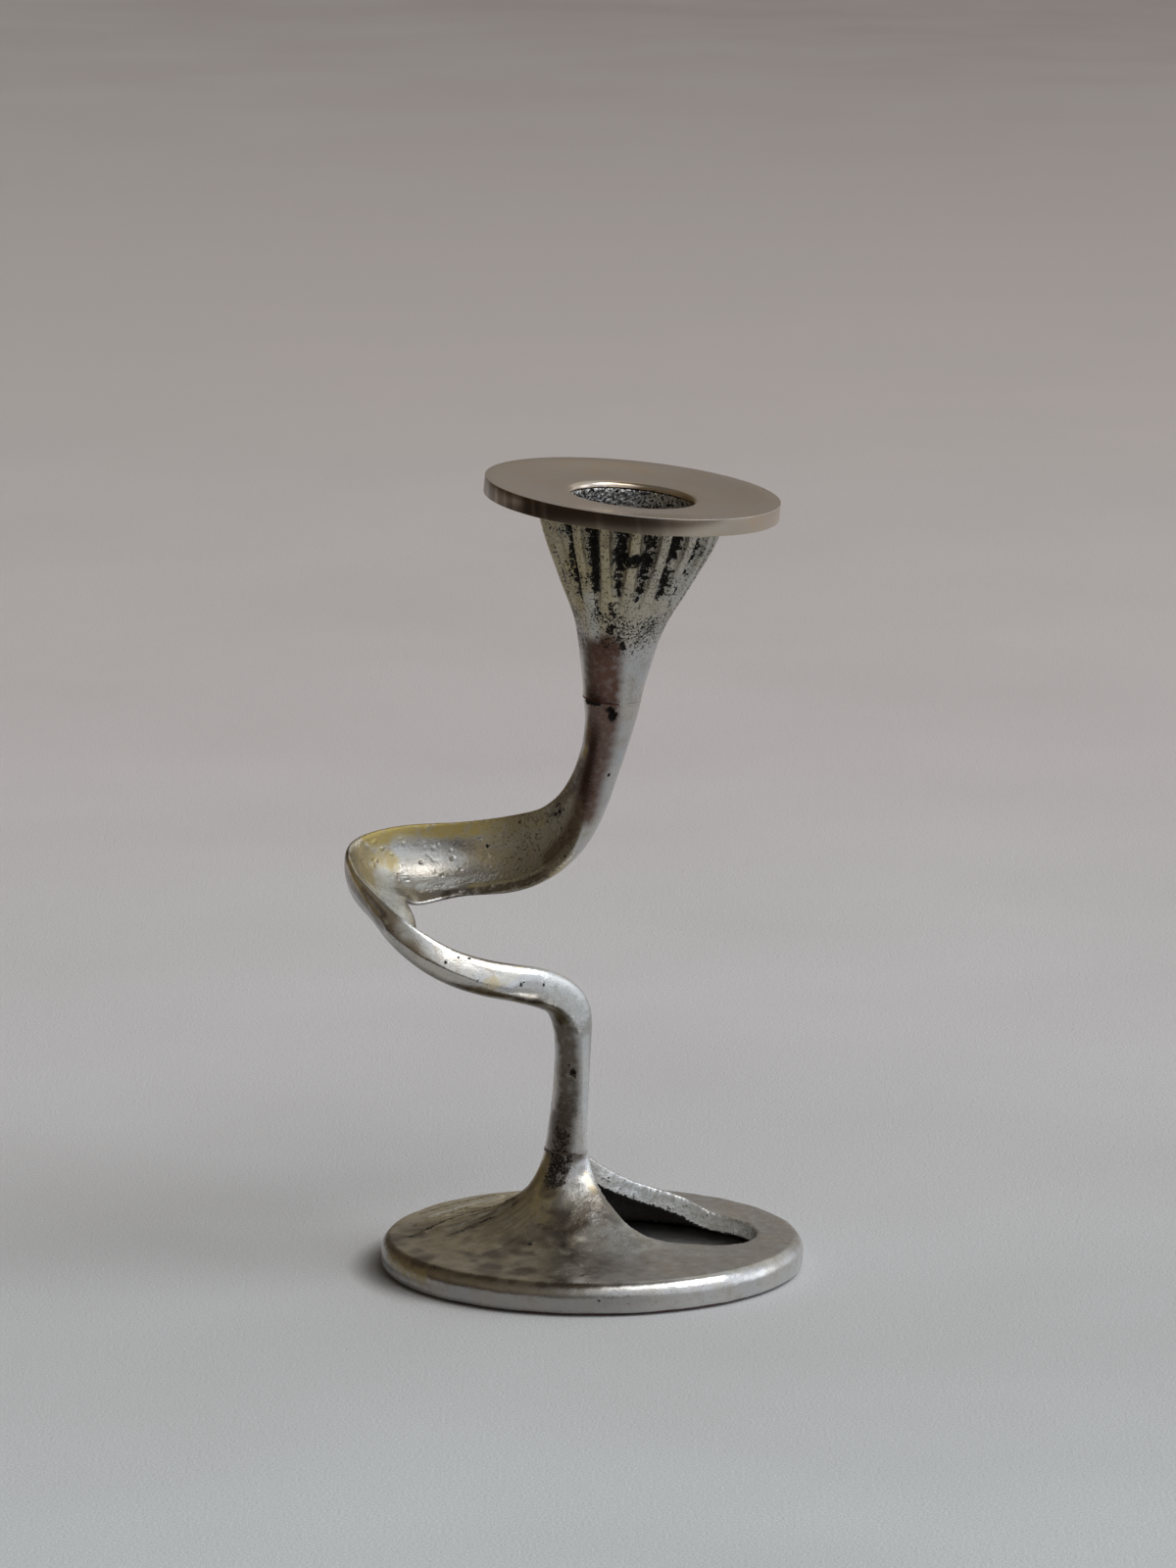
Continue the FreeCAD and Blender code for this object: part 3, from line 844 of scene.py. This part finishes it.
@dataclass
class Cup(Casting):
    """The fluted cup: sooty rough flutes and socket, and a neck that is worn smooth."""

    node: str = "fluted_cup"
    name: str = "fluted_trumpet_cup"
    voxel: float = 0.28
    smoothing: int = 2
    ends: tuple[EndFace, ...] = (
        EndFace((3.629, 2.988, 106.398), tuple(-part for part in LEAN)),)
    base: Place = (3.6, 3.0, 106.1)
    flute_count: int = 18
    flute_compass: float = 4.0
    flute_depths: Span = (14.0, 27.0)
    soot_heights: Span = (8.0, 17.0)
    low_heights: Span = (16.0, 22.0)
    dust_heights: Span = (6.5, 13.0)
    rib_heights: Span = (10.0, 20.0)
    socket_heights: Span = (13.1, 14.1)
    gilt_until: Span = (-4.0, 8.0)
    fine: Pattern = Pattern(0.5, 21, (-0.1, 0.2), 2)
    grit: Pattern = Pattern(0.9, 23)
    drift: Pattern = Pattern(4.0, 25)
    flute_depth: float = 0.12
    rib_grit: float = 0.08
    rib_grain: float = 0.05
    socket_grain: float = 0.12
    pits: tuple[Pit, ...] = (Pit((612, 626), 0.5, 0.3), Pit((626, 640), 0.4, 0.2),
                             Pit((650, 572), 1.3, 0.5), Pit((645, 574), 1.0, 0.4))
    strokes: tuple[Stroke, ...] = (
        *brushed(Coat.SOOT, (
            (((640, 572), (650, 572), (660, 574)), 2.0, 1.0),
            (((623, 618), (624, 632), (622, 645)), 1.0, 0.75),
            (((632, 652), (636, 660)), 0.9, 0.7),
        )),
        *brushed(Coat.RUST, (
            (((621, 660), (620, 685), (618, 712)), 3.9, 0.95, 0.25),
            (((607, 664), (607, 690), (607, 712)), 3.4, 0.95, 0.25),
            (((622, 548), (618, 556)), 1.2, 0.4),
        )),
        # Painted highlight down the trumpet's left side
        *brushed(Coat.PALE, (
            (((600, 608), (603, 628), (608, 648)), 1.7, 0.55, 0.8),
        )),
        # Painted shade down the neck's left side
        *brushed(Coat.TONE, (
            (((598, 655), (600, 680), (600, 705)), 2.0, 0.5),
        )),
        *brushed(Coat.GILT, (
            (((575, 560), (584, 590), (596, 600)), 3.6, 0.5),
            (((640, 600), (636, 620)), 2.6, 0.35),
            (((583, 578), (588, 570), (597, 585)), 2.6, 0.7),
            (((590, 650), (594, 700)), 1.0, 0.7),
        )),
    )

    def texture(self, skin: Skin) -> None:
        """Grit and soot in the flutes and the socket, thinning out down the trumpet."""
        axis = unit(LEAN)
        from_base = skin.points - np.array(self.base)
        height = from_base @ axis
        out = from_base - height[:, None] * axis
        radius = np.linalg.norm(out, axis=1)
        across, along = (out @ np.array(side) for side in leaning().col[:2])
        outside = ease((out * skin.normals).sum(axis=1) / np.maximum(radius, 1.0), -0.1, 0.3)
        fine, grit = self.fine.raw(skin.points), self.grit.raw(skin.points)
        drift = self.drift.raw(skin.points)
        compass = np.arctan2(along, across) - math.radians(self.flute_compass)
        fade = ease(height, *self.flute_depths)
        reach = np.cos(compass * self.flute_count) + 0.9 * grit + 0.7 * drift + 1.3 * (fade - 1.0)
        sooty = ease(reach, -0.8, 1.3) * outside * ease(height, *self.soot_heights)
        low = 1.0 - ease(height, *self.low_heights)
        dusty = outside * (0.26 + 0.13 * low + 0.22 * drift)
        dusty = dusty * ease(height, *self.dust_heights)
        skin.coats[Coat.SOOT] += np.maximum(0.95 * sooty, dusty)
        ribs = ease(height, *self.rib_heights) * outside * (1.0 - sooty)
        skin.coats[Coat.FROST] += 0.2 * ribs
        skin.coats[Coat.GILT] += ribs * (0.6 - 0.4 * ease(across, *self.gilt_until))
        skin.offset -= self.flute_depth * (1.0 + fine) * sooty
        skin.offset += (self.rib_grit * grit + self.rib_grain * fine) * ribs
        socket = (1.0 - outside) * ease(height, *self.socket_heights)
        skin.offset += self.socket_grain * fine * socket
        skin.coats[Coat.SOOT] += socket * (0.24 + 0.38 * ease(fine, *self.fine.fill))


@dataclass
class Foot(Casting):
    """The foot: drapery folds at the left, a frosted patch in front, a rough opening."""

    node: str = "foot_casting"
    name: str = "flared_foot"
    voxel: float = 0.38
    smoothing: int = 2
    ends: tuple[EndFace, ...] = (EndFace((-4.8, 0.6, 22.0), (0.0, 0.0, 1.0)),)
    opening_centre: tuple[float, float] = (15.0, 0.5)
    fold_compass: float = 172.0
    fold_spread: float = 42.0
    fold_count: float = 46.0
    fold_depth: float = 0.75
    fold_length: float = 16.0
    fold_rise: Span = (11.0, 17.0)
    fold_fall: Span = (27.0, 35.5)
    folds: Pattern = Pattern(2.6, 17)
    patches: Pattern = Pattern(8.0, 29, (-0.15, 0.35), 3)
    mottle: Pattern = Pattern(2.4, 37, (0.05, 0.3), 3)
    flecks: Pattern = Pattern(1.5, 41, (0.15, 0.4), 3)
    gilt_side: Span = (-4.0, 16.0)
    left_side: Span = (-16.0, 6.0)
    right_side: Span = (2.0, 14.0)
    front_side: Span = (-16.0, 4.0)
    rim_radii: Span = (36.0, 37.0)
    hollow_radius: float = 34.0
    rim_shade_side: Place = (-0.8, -0.6, 0.0)
    lit_side: Place = (0.6, -0.8, 0.0)
    low_heights: Span = (0.5, 2.6)
    low_reach: float = 0.8
    opening_edge: Span = (22.0, 25.0)
    far_wall: Span = (2.0, 6.0)
    fine: Pattern = Pattern(0.6, 19, (-0.3, 0.3), 2)
    coarse: Pattern = Pattern(1.3, 27, (0.0, 0.5))
    wave: float = 0.11
    low_fold: tuple[Spot, ...] = ((512, 1222), (475, 1231), (437, 1243))
    pits: tuple[Pit, ...] = (Pit((462, 1327), 0.3, 0.2), Pit((444, 1294), 0.3, 0.15),
                             Pit((598, 1302), 0.8, -0.18), Pit((590, 1290), 0.6, -0.15),
                             Pit((541, 1270), 0.6, 0.1), Pit((611, 1327), 0.3, 0.1))
    creases: tuple[Crease, ...] = (
        Crease(((527, 1218), (495, 1228), (460, 1241), (425, 1251)), 1.0, 0.32),
        Crease(((522, 1230), (490, 1243), (455, 1258)), 1.0, 0.32),
        Crease(low_fold, 0.9, 0.28),
        Crease(((625, 1231), (660, 1236), (700, 1246), (740, 1258)), 0.8, 0.22),
    )
    strokes: tuple[Stroke, ...] = (
        *brushed(Coat.FROST, (
            (((600, 1250), (620, 1262), (640, 1268), (630, 1280), (605, 1275)), 4.2, 0.5),
            (((590, 1215), (598, 1230), (588, 1250)), 3.0, 0.4),
            (((528, 1290), (540, 1300), (575, 1298), (590, 1285)), 2.6, 0.35),
            (((700, 1278), (740, 1280)), 2.2, 0.4),
        )),
        # Painted shade round the strut's foot, on the flare's left and front, on the left rim and
        # beside the opening's front edge
        *brushed(Coat.TONE, (
            (((612, 1236), (628, 1250), (650, 1266)), 4.5, 0.45),
            (((540, 1250), (548, 1256), (556, 1240)), 2.2, 0.6),
            (((574, 1180), (571, 1190), (566, 1203), (560, 1214)), 3.3, 0.9, 0.4),
            (((590, 1193), (586, 1206)), 2.0, 0.5),
            (((564, 1177), (574, 1178), (586, 1178)), 2.8, 0.85, 0.3),
            (((560, 1186), (552, 1199), (541, 1211), (524, 1222)), 2.4, 0.55, 0.4),
            (((440, 1272), (478, 1280), (500, 1262), (520, 1240)), 3.4, 0.55),
            (((400, 1270), (406, 1284), (424, 1296)), 2.4, 0.5),
        )),
        *brushed(Coat.RUST, (
            (((552, 1266), (556, 1272)), 1.7, 0.45),
            (((522, 1262), (530, 1268)), 1.7, 0.35),
            (((655, 1282), (662, 1290)), 1.4, 0.25),
        )),
        *brushed(Coat.GILT, (
            (((552, 1205), (560, 1215), (548, 1230), (556, 1245)), 3.2, 0.7),
            (((400, 1278), (412, 1290), (430, 1298)), 3.0, 0.7),
            (((600, 1200), (606, 1215)), 1.2, 0.5),
            (((558, 1184), (551, 1196), (540, 1209), (522, 1221)), 2.0, 0.7),
        )),
        *brushed(Coat.SOOT, (
            (((573, 1177), (570, 1190), (566, 1202)), 3.2, 0.64, 0.5),
            # Painted shade in the valleys beside the folds on the left
            (((525, 1224), (490, 1236), (450, 1250), (420, 1262)), 0.9, 0.6, 0.5),
            (((518, 1236), (488, 1250), (460, 1262)), 0.9, 0.55, 0.5),
            (((505, 1219), (470, 1227), (430, 1238)), 0.8, 0.5, 0.5),
        )),
        # Painted highlights on the strut's right edge and on the fold ridges
        *brushed(Coat.PALE, (
            (((600, 1178), (601, 1190), (604, 1206)), 1.1, 0.6, 0.4),
            (((522, 1231), (490, 1243), (455, 1257)), 0.8, 0.6, 0.6),
            (low_fold, 0.8, 0.6, 0.6),
        )),
    )

    def texture(self, skin: Skin) -> None:
        """Folds that run out from the flare, painted shade and highlights, and grit on the walls of
        the opening.
        """
        radius = np.hypot(skin.points[:, 0], skin.points[:, 1])
        upward = ease(skin.normals[:, 2], 0.4, 0.8)
        self.fold_left(skin, radius, upward)
        self.shade_and_gild_top(skin, upward)
        self.shape_rim(skin, radius)
        self.roughen_opening(skin)
        # Painted shade on the underside inside the hollow
        under = ease(-skin.normals[:, 2], 0.1, 0.4)
        skin.coats[Coat.SOOT] += under * (radius < self.hollow_radius)

    def fold_left(self, skin: Skin, radius: Values, upward: Values) -> None:
        """Raises folds that fan out from the flare on the left, with painted shade between their
        ridges.
        """
        points = skin.points
        compass = np.degrees(np.arctan2(points[:, 1], points[:, 0]))
        turn = (compass - self.fold_compass + 180.0) % 360.0 - 180.0
        fan = np.column_stack([np.radians(turn) * self.fold_count, radius / self.fold_length,
                               np.zeros(len(points))])
        ridges = 1.0 - 2.2 * np.hypot(self.folds.raw(fan), 0.11)
        share = np.exp(-(turn / self.fold_spread) ** 2) * upward
        share = share * band(radius, self.fold_rise, self.fold_fall)
        skin.offset += self.fold_depth * ridges * share
        skin.coats[Coat.TONE] += 0.6 * ease(-ridges, 0.0, 0.5) * share

    def shade_and_gild_top(self, skin: Skin, upward: Values) -> None:
        """Gilds the top and paints shade on it, most of all at the front left."""
        points = skin.points
        leftward = ease(-points[:, 0], *self.left_side)
        rightward = ease(points[:, 0], *self.right_side)
        frontward = ease(-points[:, 1], *self.front_side)
        patches = self.patches.over(points)
        # Painted shade towards the front and left, in patches and less on the right; mottled adds
        # darker patches, fewer on the right
        front_shade = (0.28 + (0.12 + 0.45 * patches) * leftward - 0.10 * rightward) * frontward
        mottled = 0.18 * self.mottle.over(points) * (1.0 - 0.6 * rightward)
        skin.coats[Coat.TONE] += upward * (front_shade - 0.14 * rightward + mottled)
        skin.coats[Coat.GILT] += 0.5 * ease(-points[:, 0], *self.gilt_side) * upward
        # Pale flecks on the upward faces: painted glints
        skin.coats[Coat.PALE] += 0.16 * self.flecks.over(points) * upward

    def shape_rim(self, skin: Skin, radius: Values) -> None:
        """Paints shade on the rim's left side and a highlight on its front, and spreads its lower
        edge.
        """
        points, normals = skin.points, skin.normals
        outer = ease(radius, *self.rim_radii)
        aside, lit = normals @ np.array(self.rim_shade_side), normals @ np.array(self.lit_side)
        # Painted shade where the rim faces left, painted highlight where it faces front right
        skin.coats[Coat.TONE] += 0.48 * outer * ease(aside, 0.05, 0.6)
        skin.coats[Coat.PALE] += 0.2 * outer * ease(lit, 0.2, 0.6)
        low = outer * (1.0 - ease(points[:, 2], *self.low_heights))
        points[:, :2] *= (1.0 + self.low_reach * low / np.maximum(radius, 1.0))[:, None]

    def roughen_opening(self, skin: Skin) -> None:
        """Leaves the opening's walls as cast, and the far one pitted, with a grainy painted
        highlight on it.
        """
        points = skin.points
        middle = points[:, :2] - np.array(self.opening_centre)
        span = np.linalg.norm(middle, axis=1)
        inward = -(middle * skin.normals[:, :2]).sum(axis=1) / np.maximum(span, 1.0)
        wall = ease(inward, 0.35, 0.7) * (1.0 - ease(span, *self.opening_edge))
        far_wall = ease(points[:, 1], *self.far_wall) * wall
        fine, coarse = self.fine.raw(points), self.coarse.raw(points)
        skin.offset += 0.05 * fine * wall + 0.07 * coarse * far_wall
        skin.coats[Coat.FROST] += 0.3 * wall
        # Grainy painted highlight on the far wall
        skin.coats[Coat.PALE] += far_wall * (0.3 + 0.35 * ease(fine, *self.fine.fill))
        skin.coats[Coat.SOOT] += 0.35 * far_wall * ease(coarse, *self.coarse.fill)


@dataclass
class DripPan:
    """The drip pan, turned as a disc and set on the leaning cup."""

    material: Material
    diameter: float = 54.2
    thickness: float = 3.1
    dish: float = 1.25
    mouth: float = 22.5
    lip: float = 1.0
    seat_radius: float = 13.05
    seat_height: float = 0.8
    bevel: float = 0.36
    shade_compass: float = -135.0
    streaks: Pattern = Pattern(1.0, 43, (0.1, 0.35))
    streak_count: float = 14.0
    lit_side: Place = (0.5, -0.85, 0.0)
    sides: int = 256
    dish_rings: int = 6
    lip_rings: int = 5
    base: Place = (7.151, 1.514, 142.33)

    def build(self) -> Piece:
        """Returns the pan, riding on the body and replacing its node."""
        piece = add_disc("dished_drip_pan", self.diameter / 2, self.thickness, self.sides, "NGON")
        self.dish_top(piece)
        self.cut_seat(piece)
        soften_edges(piece, self.bevel, 3)
        piece.data.transform(Matrix.Translation(Vector(self.base) * MM) @ leaning().to_4x4())
        self.shade_and_light_rim(piece)
        shade_smooth(piece, 40.0)
        dress(piece, self.material)
        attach(piece, BODY)
        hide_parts("drip_pan")
        log.info("drip pan: %d faces", len(piece.data.polygons))
        return piece

    def shade_and_light_rim(self, piece: Piece) -> None:
        """Paints shade on the rim's left, gilds its lower edge and paints a highlight on its upper
        one.
        """
        skin = Skin(piece)
        aside = skin.normals @ np.array(direction(self.shade_compass, 0.0))
        upright = skin.normals @ unit(LEAN)
        compass = np.arctan2(skin.normals[:, 1], skin.normals[:, 0])
        worn = 1.0 - 0.4 * self.streaks.over(np.outer(compass, (self.streak_count, 0.0, 0.0)))
        flank = 1.0 - 0.8 * ease(np.abs(upright), 0.15, 0.5)
        # Painted shade on the left-facing rim, broken by streaks
        skin.coats[Coat.TONE] += 0.95 * worn * flank * ease(aside, 0.3, 0.7)
        skin.coats[Coat.GILT] += 0.8 * ease(-upright, 0.1, 0.4)
        edge = ease(upright, 0.2, 0.5) * (1.0 - ease(upright, 0.85, 0.97))
        lit = ease(skin.normals @ np.array(self.lit_side), 0.15, 0.5)
        away = np.linalg.norm(skin.points - np.array(self.base), axis=1)
        # Painted highlight on the upper edge where it faces front right
        skin.coats[Coat.PALE] += 0.75 * edge * lit * (away > 0.4 * self.diameter)
        skin.finish()

    def pick_disc(self, piece: Piece, facing: float) -> None:
        """Selects the one round face that points up or down, in edit mode."""
        pick_only(piece)
        bpy.ops.object.mode_set(mode="EDIT")
        bpy.ops.mesh.select_all(action="DESELECT")
        bpy.ops.object.mode_set(mode="OBJECT")
        for polygon in piece.data.polygons:
            polygon.select = len(polygon.vertices) == self.sides and polygon.normal.z * facing > 0.5
        bpy.ops.object.mode_set(mode="EDIT")
        bpy.ops.mesh.select_mode(type="FACE")

    def dish_top(self, piece: Piece) -> None:
        """Insets the top in rings that follow the dish and round over into the mouth."""
        self.pick_disc(piece, 1.0)
        run = self.diameter / 2 - self.mouth / 2 - self.lip
        fallen = 0.0
        for ring in range(1, self.dish_rings + 1):
            share = ring / self.dish_rings
            drop = self.dish * math.sin(share * math.pi / 2) ** 1.2
            bpy.ops.mesh.inset(thickness=run / self.dish_rings * MM, depth=-(drop - fallen) * MM)
            fallen = drop
        went, sank = 0.0, 0.0
        for ring in range(1, self.lip_rings + 1):
            turn = ring / self.lip_rings * math.pi / 2
            across, down = self.lip * math.sin(turn), self.lip * (1.0 - math.cos(turn))
            bpy.ops.mesh.inset(thickness=(across - went) * MM, depth=-(down - sank) * MM)
            went, sank = across, down
        bpy.ops.object.mode_set(mode="OBJECT")

    def cut_seat(self, piece: Piece) -> None:
        """Sinks the spigot's seat into the underside and opens the mouth through to it."""
        self.pick_disc(piece, -1.0)
        bpy.ops.mesh.inset(thickness=(self.diameter / 2 - self.seat_radius) * MM)
        bpy.ops.mesh.inset(thickness=0.0, depth=-self.seat_height * MM)
        bpy.ops.mesh.inset(thickness=(self.seat_radius - self.mouth / 2) * MM)
        bpy.ops.object.mode_set(mode="OBJECT")
        for polygon in piece.data.polygons:
            polygon.select = len(polygon.vertices) == self.sides
        bpy.ops.object.mode_set(mode="EDIT")
        bpy.ops.mesh.bridge_edge_loops()
        bpy.ops.object.mode_set(mode="OBJECT")


@dataclass
class FeltPad:
    """The felt under the foot, with a fuzzy edge."""

    material: Material
    radius: float = 37.5
    thickness: float = 0.5
    edge: float = 0.2
    fuzz: float = 0.12
    fuzz_size: float = 0.8
    sides: int = 360

    def build(self) -> Piece:
        """Returns the felt, riding on the body and replacing its node."""
        piece = add_disc("pressed_felt_pad", self.radius - self.fuzz, self.thickness, self.sides,
                         "TRIFAN")
        soften_edges(piece, self.edge, 2)
        for vertex in piece.data.vertices:
            reach = math.hypot(vertex.co.x, vertex.co.y)
            if reach > 0.9 * self.radius * MM:
                pull = self.fuzz * noise.noise(vertex.co / (self.fuzz_size * MM)) * MM
                vertex.co.x *= 1.0 + pull / reach
                vertex.co.y *= 1.0 + pull / reach
        shade_smooth(piece, 40.0)
        dress(piece, self.material)
        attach(piece, BODY)
        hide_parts("felt_pad")
        log.info("felt pad: %d faces", len(piece.data.polygons))
        return piece


@dataclass(frozen=True)
class Joints:
    """The solder and the hidden pins. The two leaves of solder are filed back a little."""

    solder: Material
    steel: Material
    filed: float = 0.10

    def build(self) -> None:
        """Dresses each joint's nodes."""
        # The foot's solder carries the castings' painted shade left of the joint
        self.file_back("foot_joint_solder", Coat.TONE, -2.8)
        self.file_back("neck_joint_solder", Coat.RUST, 5.0)
        dress(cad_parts["pan_solder_ring"], self.solder)
        for node in ("foot_joint_pin", "neck_joint_pin"):
            dress(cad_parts[node], self.steel)
        log.info("joints: 3 solder pieces and 2 pins")

    def file_back(self, node: str, coat: Coat, until: float) -> None:
        """Adds a leaf of solder whose edge stays just inside the castings' skins.

        Args:
            node: The leaf's node.
            coat: The coat that the castings have on the left of the joint.
            until: How far to the right this coat reaches, in millimetres.
        """
        leaf = add_object("filed_" + node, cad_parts[node].data.copy())
        points = np.array([vertex.co for vertex in leaf.data.vertices])
        middle = (points.min(axis=0) + points.max(axis=0)) / 2
        outer = np.linalg.norm(points - middle, axis=1).max()
        for vertex in leaf.data.vertices:
            away = vertex.co - Vector(middle)
            away.z = 0.0
            if away.length > 0.6 * outer:
                vertex.co -= away.normalized() * (self.filed * MM)
        skin = Skin(leaf)
        skin.coats[coat] += 1.0 - ease(skin.points[:, 0], until - 0.4, until + 0.4)
        skin.finish()
        dress(leaf, self.solder)
        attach(leaf, BODY)
        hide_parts(node)


@dataclass(frozen=True)
class Lamp:
    """A soft lamp far away: where it stands in degrees, how wide it looks, its strength."""

    name: str
    compass: float
    rise: float
    width: float
    strength: float
    color: Color = (1.0, 1.0, 1.0)

    def build(self) -> None:
        """Adds the lamp, aimed at the holder."""
        data = bpy.data.lights.new(self.name, "SUN")
        data.angle = math.radians(self.width)
        data.energy = self.strength
        data.color = self.color
        lamp = add_object(self.name, data)
        away = direction(self.compass, self.rise)
        lamp.rotation_euler = away.to_track_quat("Z", "Y").to_euler()
        lamp.location = away


class Backdrop(Enum):
    """Bands of the paper floor from the camera to the far end: depth in metres and colour."""

    NEAR = (-0.17, (0.72, 0.775, 0.80))
    FRONT = (-0.06, (0.665, 0.69, 0.71))
    BEHIND = (0.25, (0.73, 0.715, 0.735))
    MIDDLE = (0.55, (0.68, 0.635, 0.635))
    BACK = (1.2, (0.555, 0.495, 0.472))
    FAR = (2.6, (0.265, 0.22, 0.198))


@dataclass(frozen=True)
class Glow:
    """A soft bright patch of the room: its direction and its two rims in degrees."""

    compass: float
    rise: float
    full: float
    none: float
    color: Color


@dataclass(frozen=True)
class Studio:
    """A long sheet of paper, lamps high on the right, and a room that is dark in front."""

    paper_half: float = 12.0
    shade: Color = (0.47, 0.445, 0.43)
    unlit: Color = (0.075, 0.055, 0.045)
    room_front: Color = (0.045, 0.027, 0.020)
    room_front_high: Color = (0.21, 0.175, 0.12)
    room_back_left: Color = (0.11, 0.085, 0.050)
    room_back_right: Color = (0.275, 0.255, 0.235)
    room_window: Color = (0.80, 0.825, 0.90)
    room_top: Color = (0.15, 0.14, 0.125)
    right_span: Span = (-0.45, 0.12)
    high_span: Span = (0.0, 0.42)
    back_span: Span = (-0.1, 0.5)
    window_span: Span = (0.42, 0.72)
    top_span: Span = (0.6, 0.9)
    sway_ramp: Ramp = (-0.35, 0.1, 0.25, 0.0)
    near_ramp: Ramp = (-0.55, -0.24)
    left_ramp: Ramp = (-0.46, -0.17)
    behind_ramp: Ramp = (0.1, 0.5)
    rim_ramp: Ramp = (0.0385, 0.0455, 0.75, 0.0)
    shadow_ramp: Ramp = (-0.041, -0.030, 1.0, 0.0)
    cloud_size: float = 110.0
    cloud_ramp: Ramp = (0.35, 0.7, 0.0, 0.22)
    fibre_size: float = 0.6
    fibre_depth: float = 0.2
    fibre_ramp: Ramp = (0.36, 0.66, 0.0, 0.55)
    glows: tuple[Glow, ...] = (
        Glow(-64.0, 36.0, 17.0, 38.0, (0.86, 0.90, 0.95)),
        Glow(55.0, 38.0, 14.0, 31.0, (0.60, 0.60, 0.565)),
    )
    lamps: tuple[Lamp, ...] = (
        Lamp("window_lamp", -16.0, 49.0, 34.0, 1.10, (0.97, 0.985, 1.0)),
        Lamp("key_lamp", -61.0, 56.0, 22.0, 0.31, (1.0, 1.0, 0.99)),
        Lamp("low_lamp", 12.0, 13.0, 24.0, 0.14, (0.94, 0.97, 1.0)),
    )

    def build(self) -> None:
        """Adds the paper, the lamps and the room."""
        self.lay_paper()
        for lamp in self.lamps:
            lamp.build()
        self.paint_room()
        bpy.context.scene.view_settings.view_transform = "Standard"
        log.info("studio: paper, %d lamps and room", len(self.lamps))

    def lay_paper(self) -> None:
        """Adds the sheet. Its tone changes with depth, and it darkens towards the camera's left
        and close beside the foot, where no lamp reaches.
        """
        bpy.ops.object.select_all(action="DESELECT")
        bpy.ops.mesh.primitive_circle_add(vertices=64, radius=self.paper_half, fill_type="NGON")
        paper = bpy.context.object
        paper.name = "paper_sheet"
        nodes = Nodes("floor_paper")
        split = nodes.add("SeparateXYZ", nodes.place).outputs
        color = nodes.mix(nodes.spread(split["X"], *self.sway_ramp),
                          self.grade_depth(nodes, split["Y"]), self.shade)
        cloud = nodes.speckle(self.cloud_size, 2.0)
        fibre = nodes.speckle(self.fibre_size, 3.0, 0.8)
        color = nodes.mix(nodes.spread(cloud, *self.cloud_ramp), color, self.shade)
        color = nodes.mix(nodes.spread(fibre, *self.fibre_ramp), color, self.shade)
        lit = nodes.math("ADD", nodes.spread(split["X"], *self.left_ramp),
                         nodes.spread(split["Y"], *self.behind_ramp))
        lit = nodes.math("MULTIPLY", nodes.spread(split["Y"], *self.near_ramp), lit)
        color = nodes.mix(lit, self.unlit, color)
        rim = nodes.spread(nodes.measure("LENGTH", nodes.place), *self.rim_ramp)
        shadow = nodes.math("MULTIPLY", rim, nodes.spread(split["X"], *self.shadow_ramp))
        nodes.paint(Base_Color=nodes.mix(shadow, color, self.unlit), Roughness=1.0,
                    Specular_IOR_Level=0.1, Normal=nodes.bump(fibre, self.fibre_depth))
        dress(paper, nodes.material)

    def grade_depth(self, nodes: Nodes, depth: Socket) -> Socket:
        """Returns the paper's colour at each depth of the picture."""
        near, far = Backdrop.NEAR.value[0], Backdrop.FAR.value[0]
        ramp = nodes.add("ValToRGB", nodes.spread(depth, near, far))
        stops = ramp.color_ramp.elements
        stops.remove(stops[1])
        for tone in Backdrop:
            place = (tone.value[0] - near) / (far - near)
            stop = stops.new(place) if tone is not Backdrop.NEAR else stops[0]
            stop.color = (*tone.value[1], 1.0)
        return ramp.outputs["Color"]

    def paint_room(self) -> None:
        """Paints the room: brown in front, grey behind, a window on the right, two glows."""
        world = bpy.data.worlds.new("dim_room")
        bpy.context.scene.world = world
        world.use_nodes = True
        room = NodeTree(world.node_tree, "Generated")
        split = room.add("SeparateXYZ", room.place).outputs

        def rise(axis: str, span: Span) -> Socket:
            """Returns a soft 0 to 1 rise along an axis of the direction."""
            return room.spread(split[axis], *span, kind="SMOOTHSTEP")

        back = room.mix(rise("X", self.right_span), self.room_back_left, self.room_back_right)
        front = room.mix(rise("Z", self.high_span), self.room_front, self.room_front_high)
        color = room.mix(rise("Y", self.back_span), front, back)
        color = room.mix(rise("X", self.window_span), color, self.room_window)
        color = room.mix(rise("Z", self.top_span), color, self.room_top)
        for glow in self.glows:
            near = room.measure("DOT_PRODUCT", room.place, direction(glow.compass, glow.rise))
            share = room.spread(near, math.cos(math.radians(glow.none)),
                                math.cos(math.radians(glow.full)), kind="SMOOTHSTEP")
            color = room.mix(share, color, glow.color)
        room.join(color, world.node_tree.nodes["Background"].inputs["Color"])


def main() -> None:
    """Builds the studio, then the holder from the foot up."""
    logging.basicConfig(level=logging.INFO, format="%(name)s: %(message)s")
    view = PhotoView()
    view.build()
    Studio().build()
    cast_metal = CastMetal().build()
    solder = PlainMetal("solder", (0.56, 0.53, 0.50), (0.46, 0.44, 0.41), (0.24, 0.38)).build()
    steel = PlainMetal("pin_steel", (0.56, 0.56, 0.56), (0.45, 0.45, 0.45), (0.29, 0.43)).build()
    FeltPad(Felt().build()).build()
    Foot(view, cast_metal).build()
    Stem(view, cast_metal).build()
    Cup(view, cast_metal).build()
    DripPan(TurnedMetal().build()).build()
    Joints(solder, steel).build()


if __name__ == "__main__":
    main()
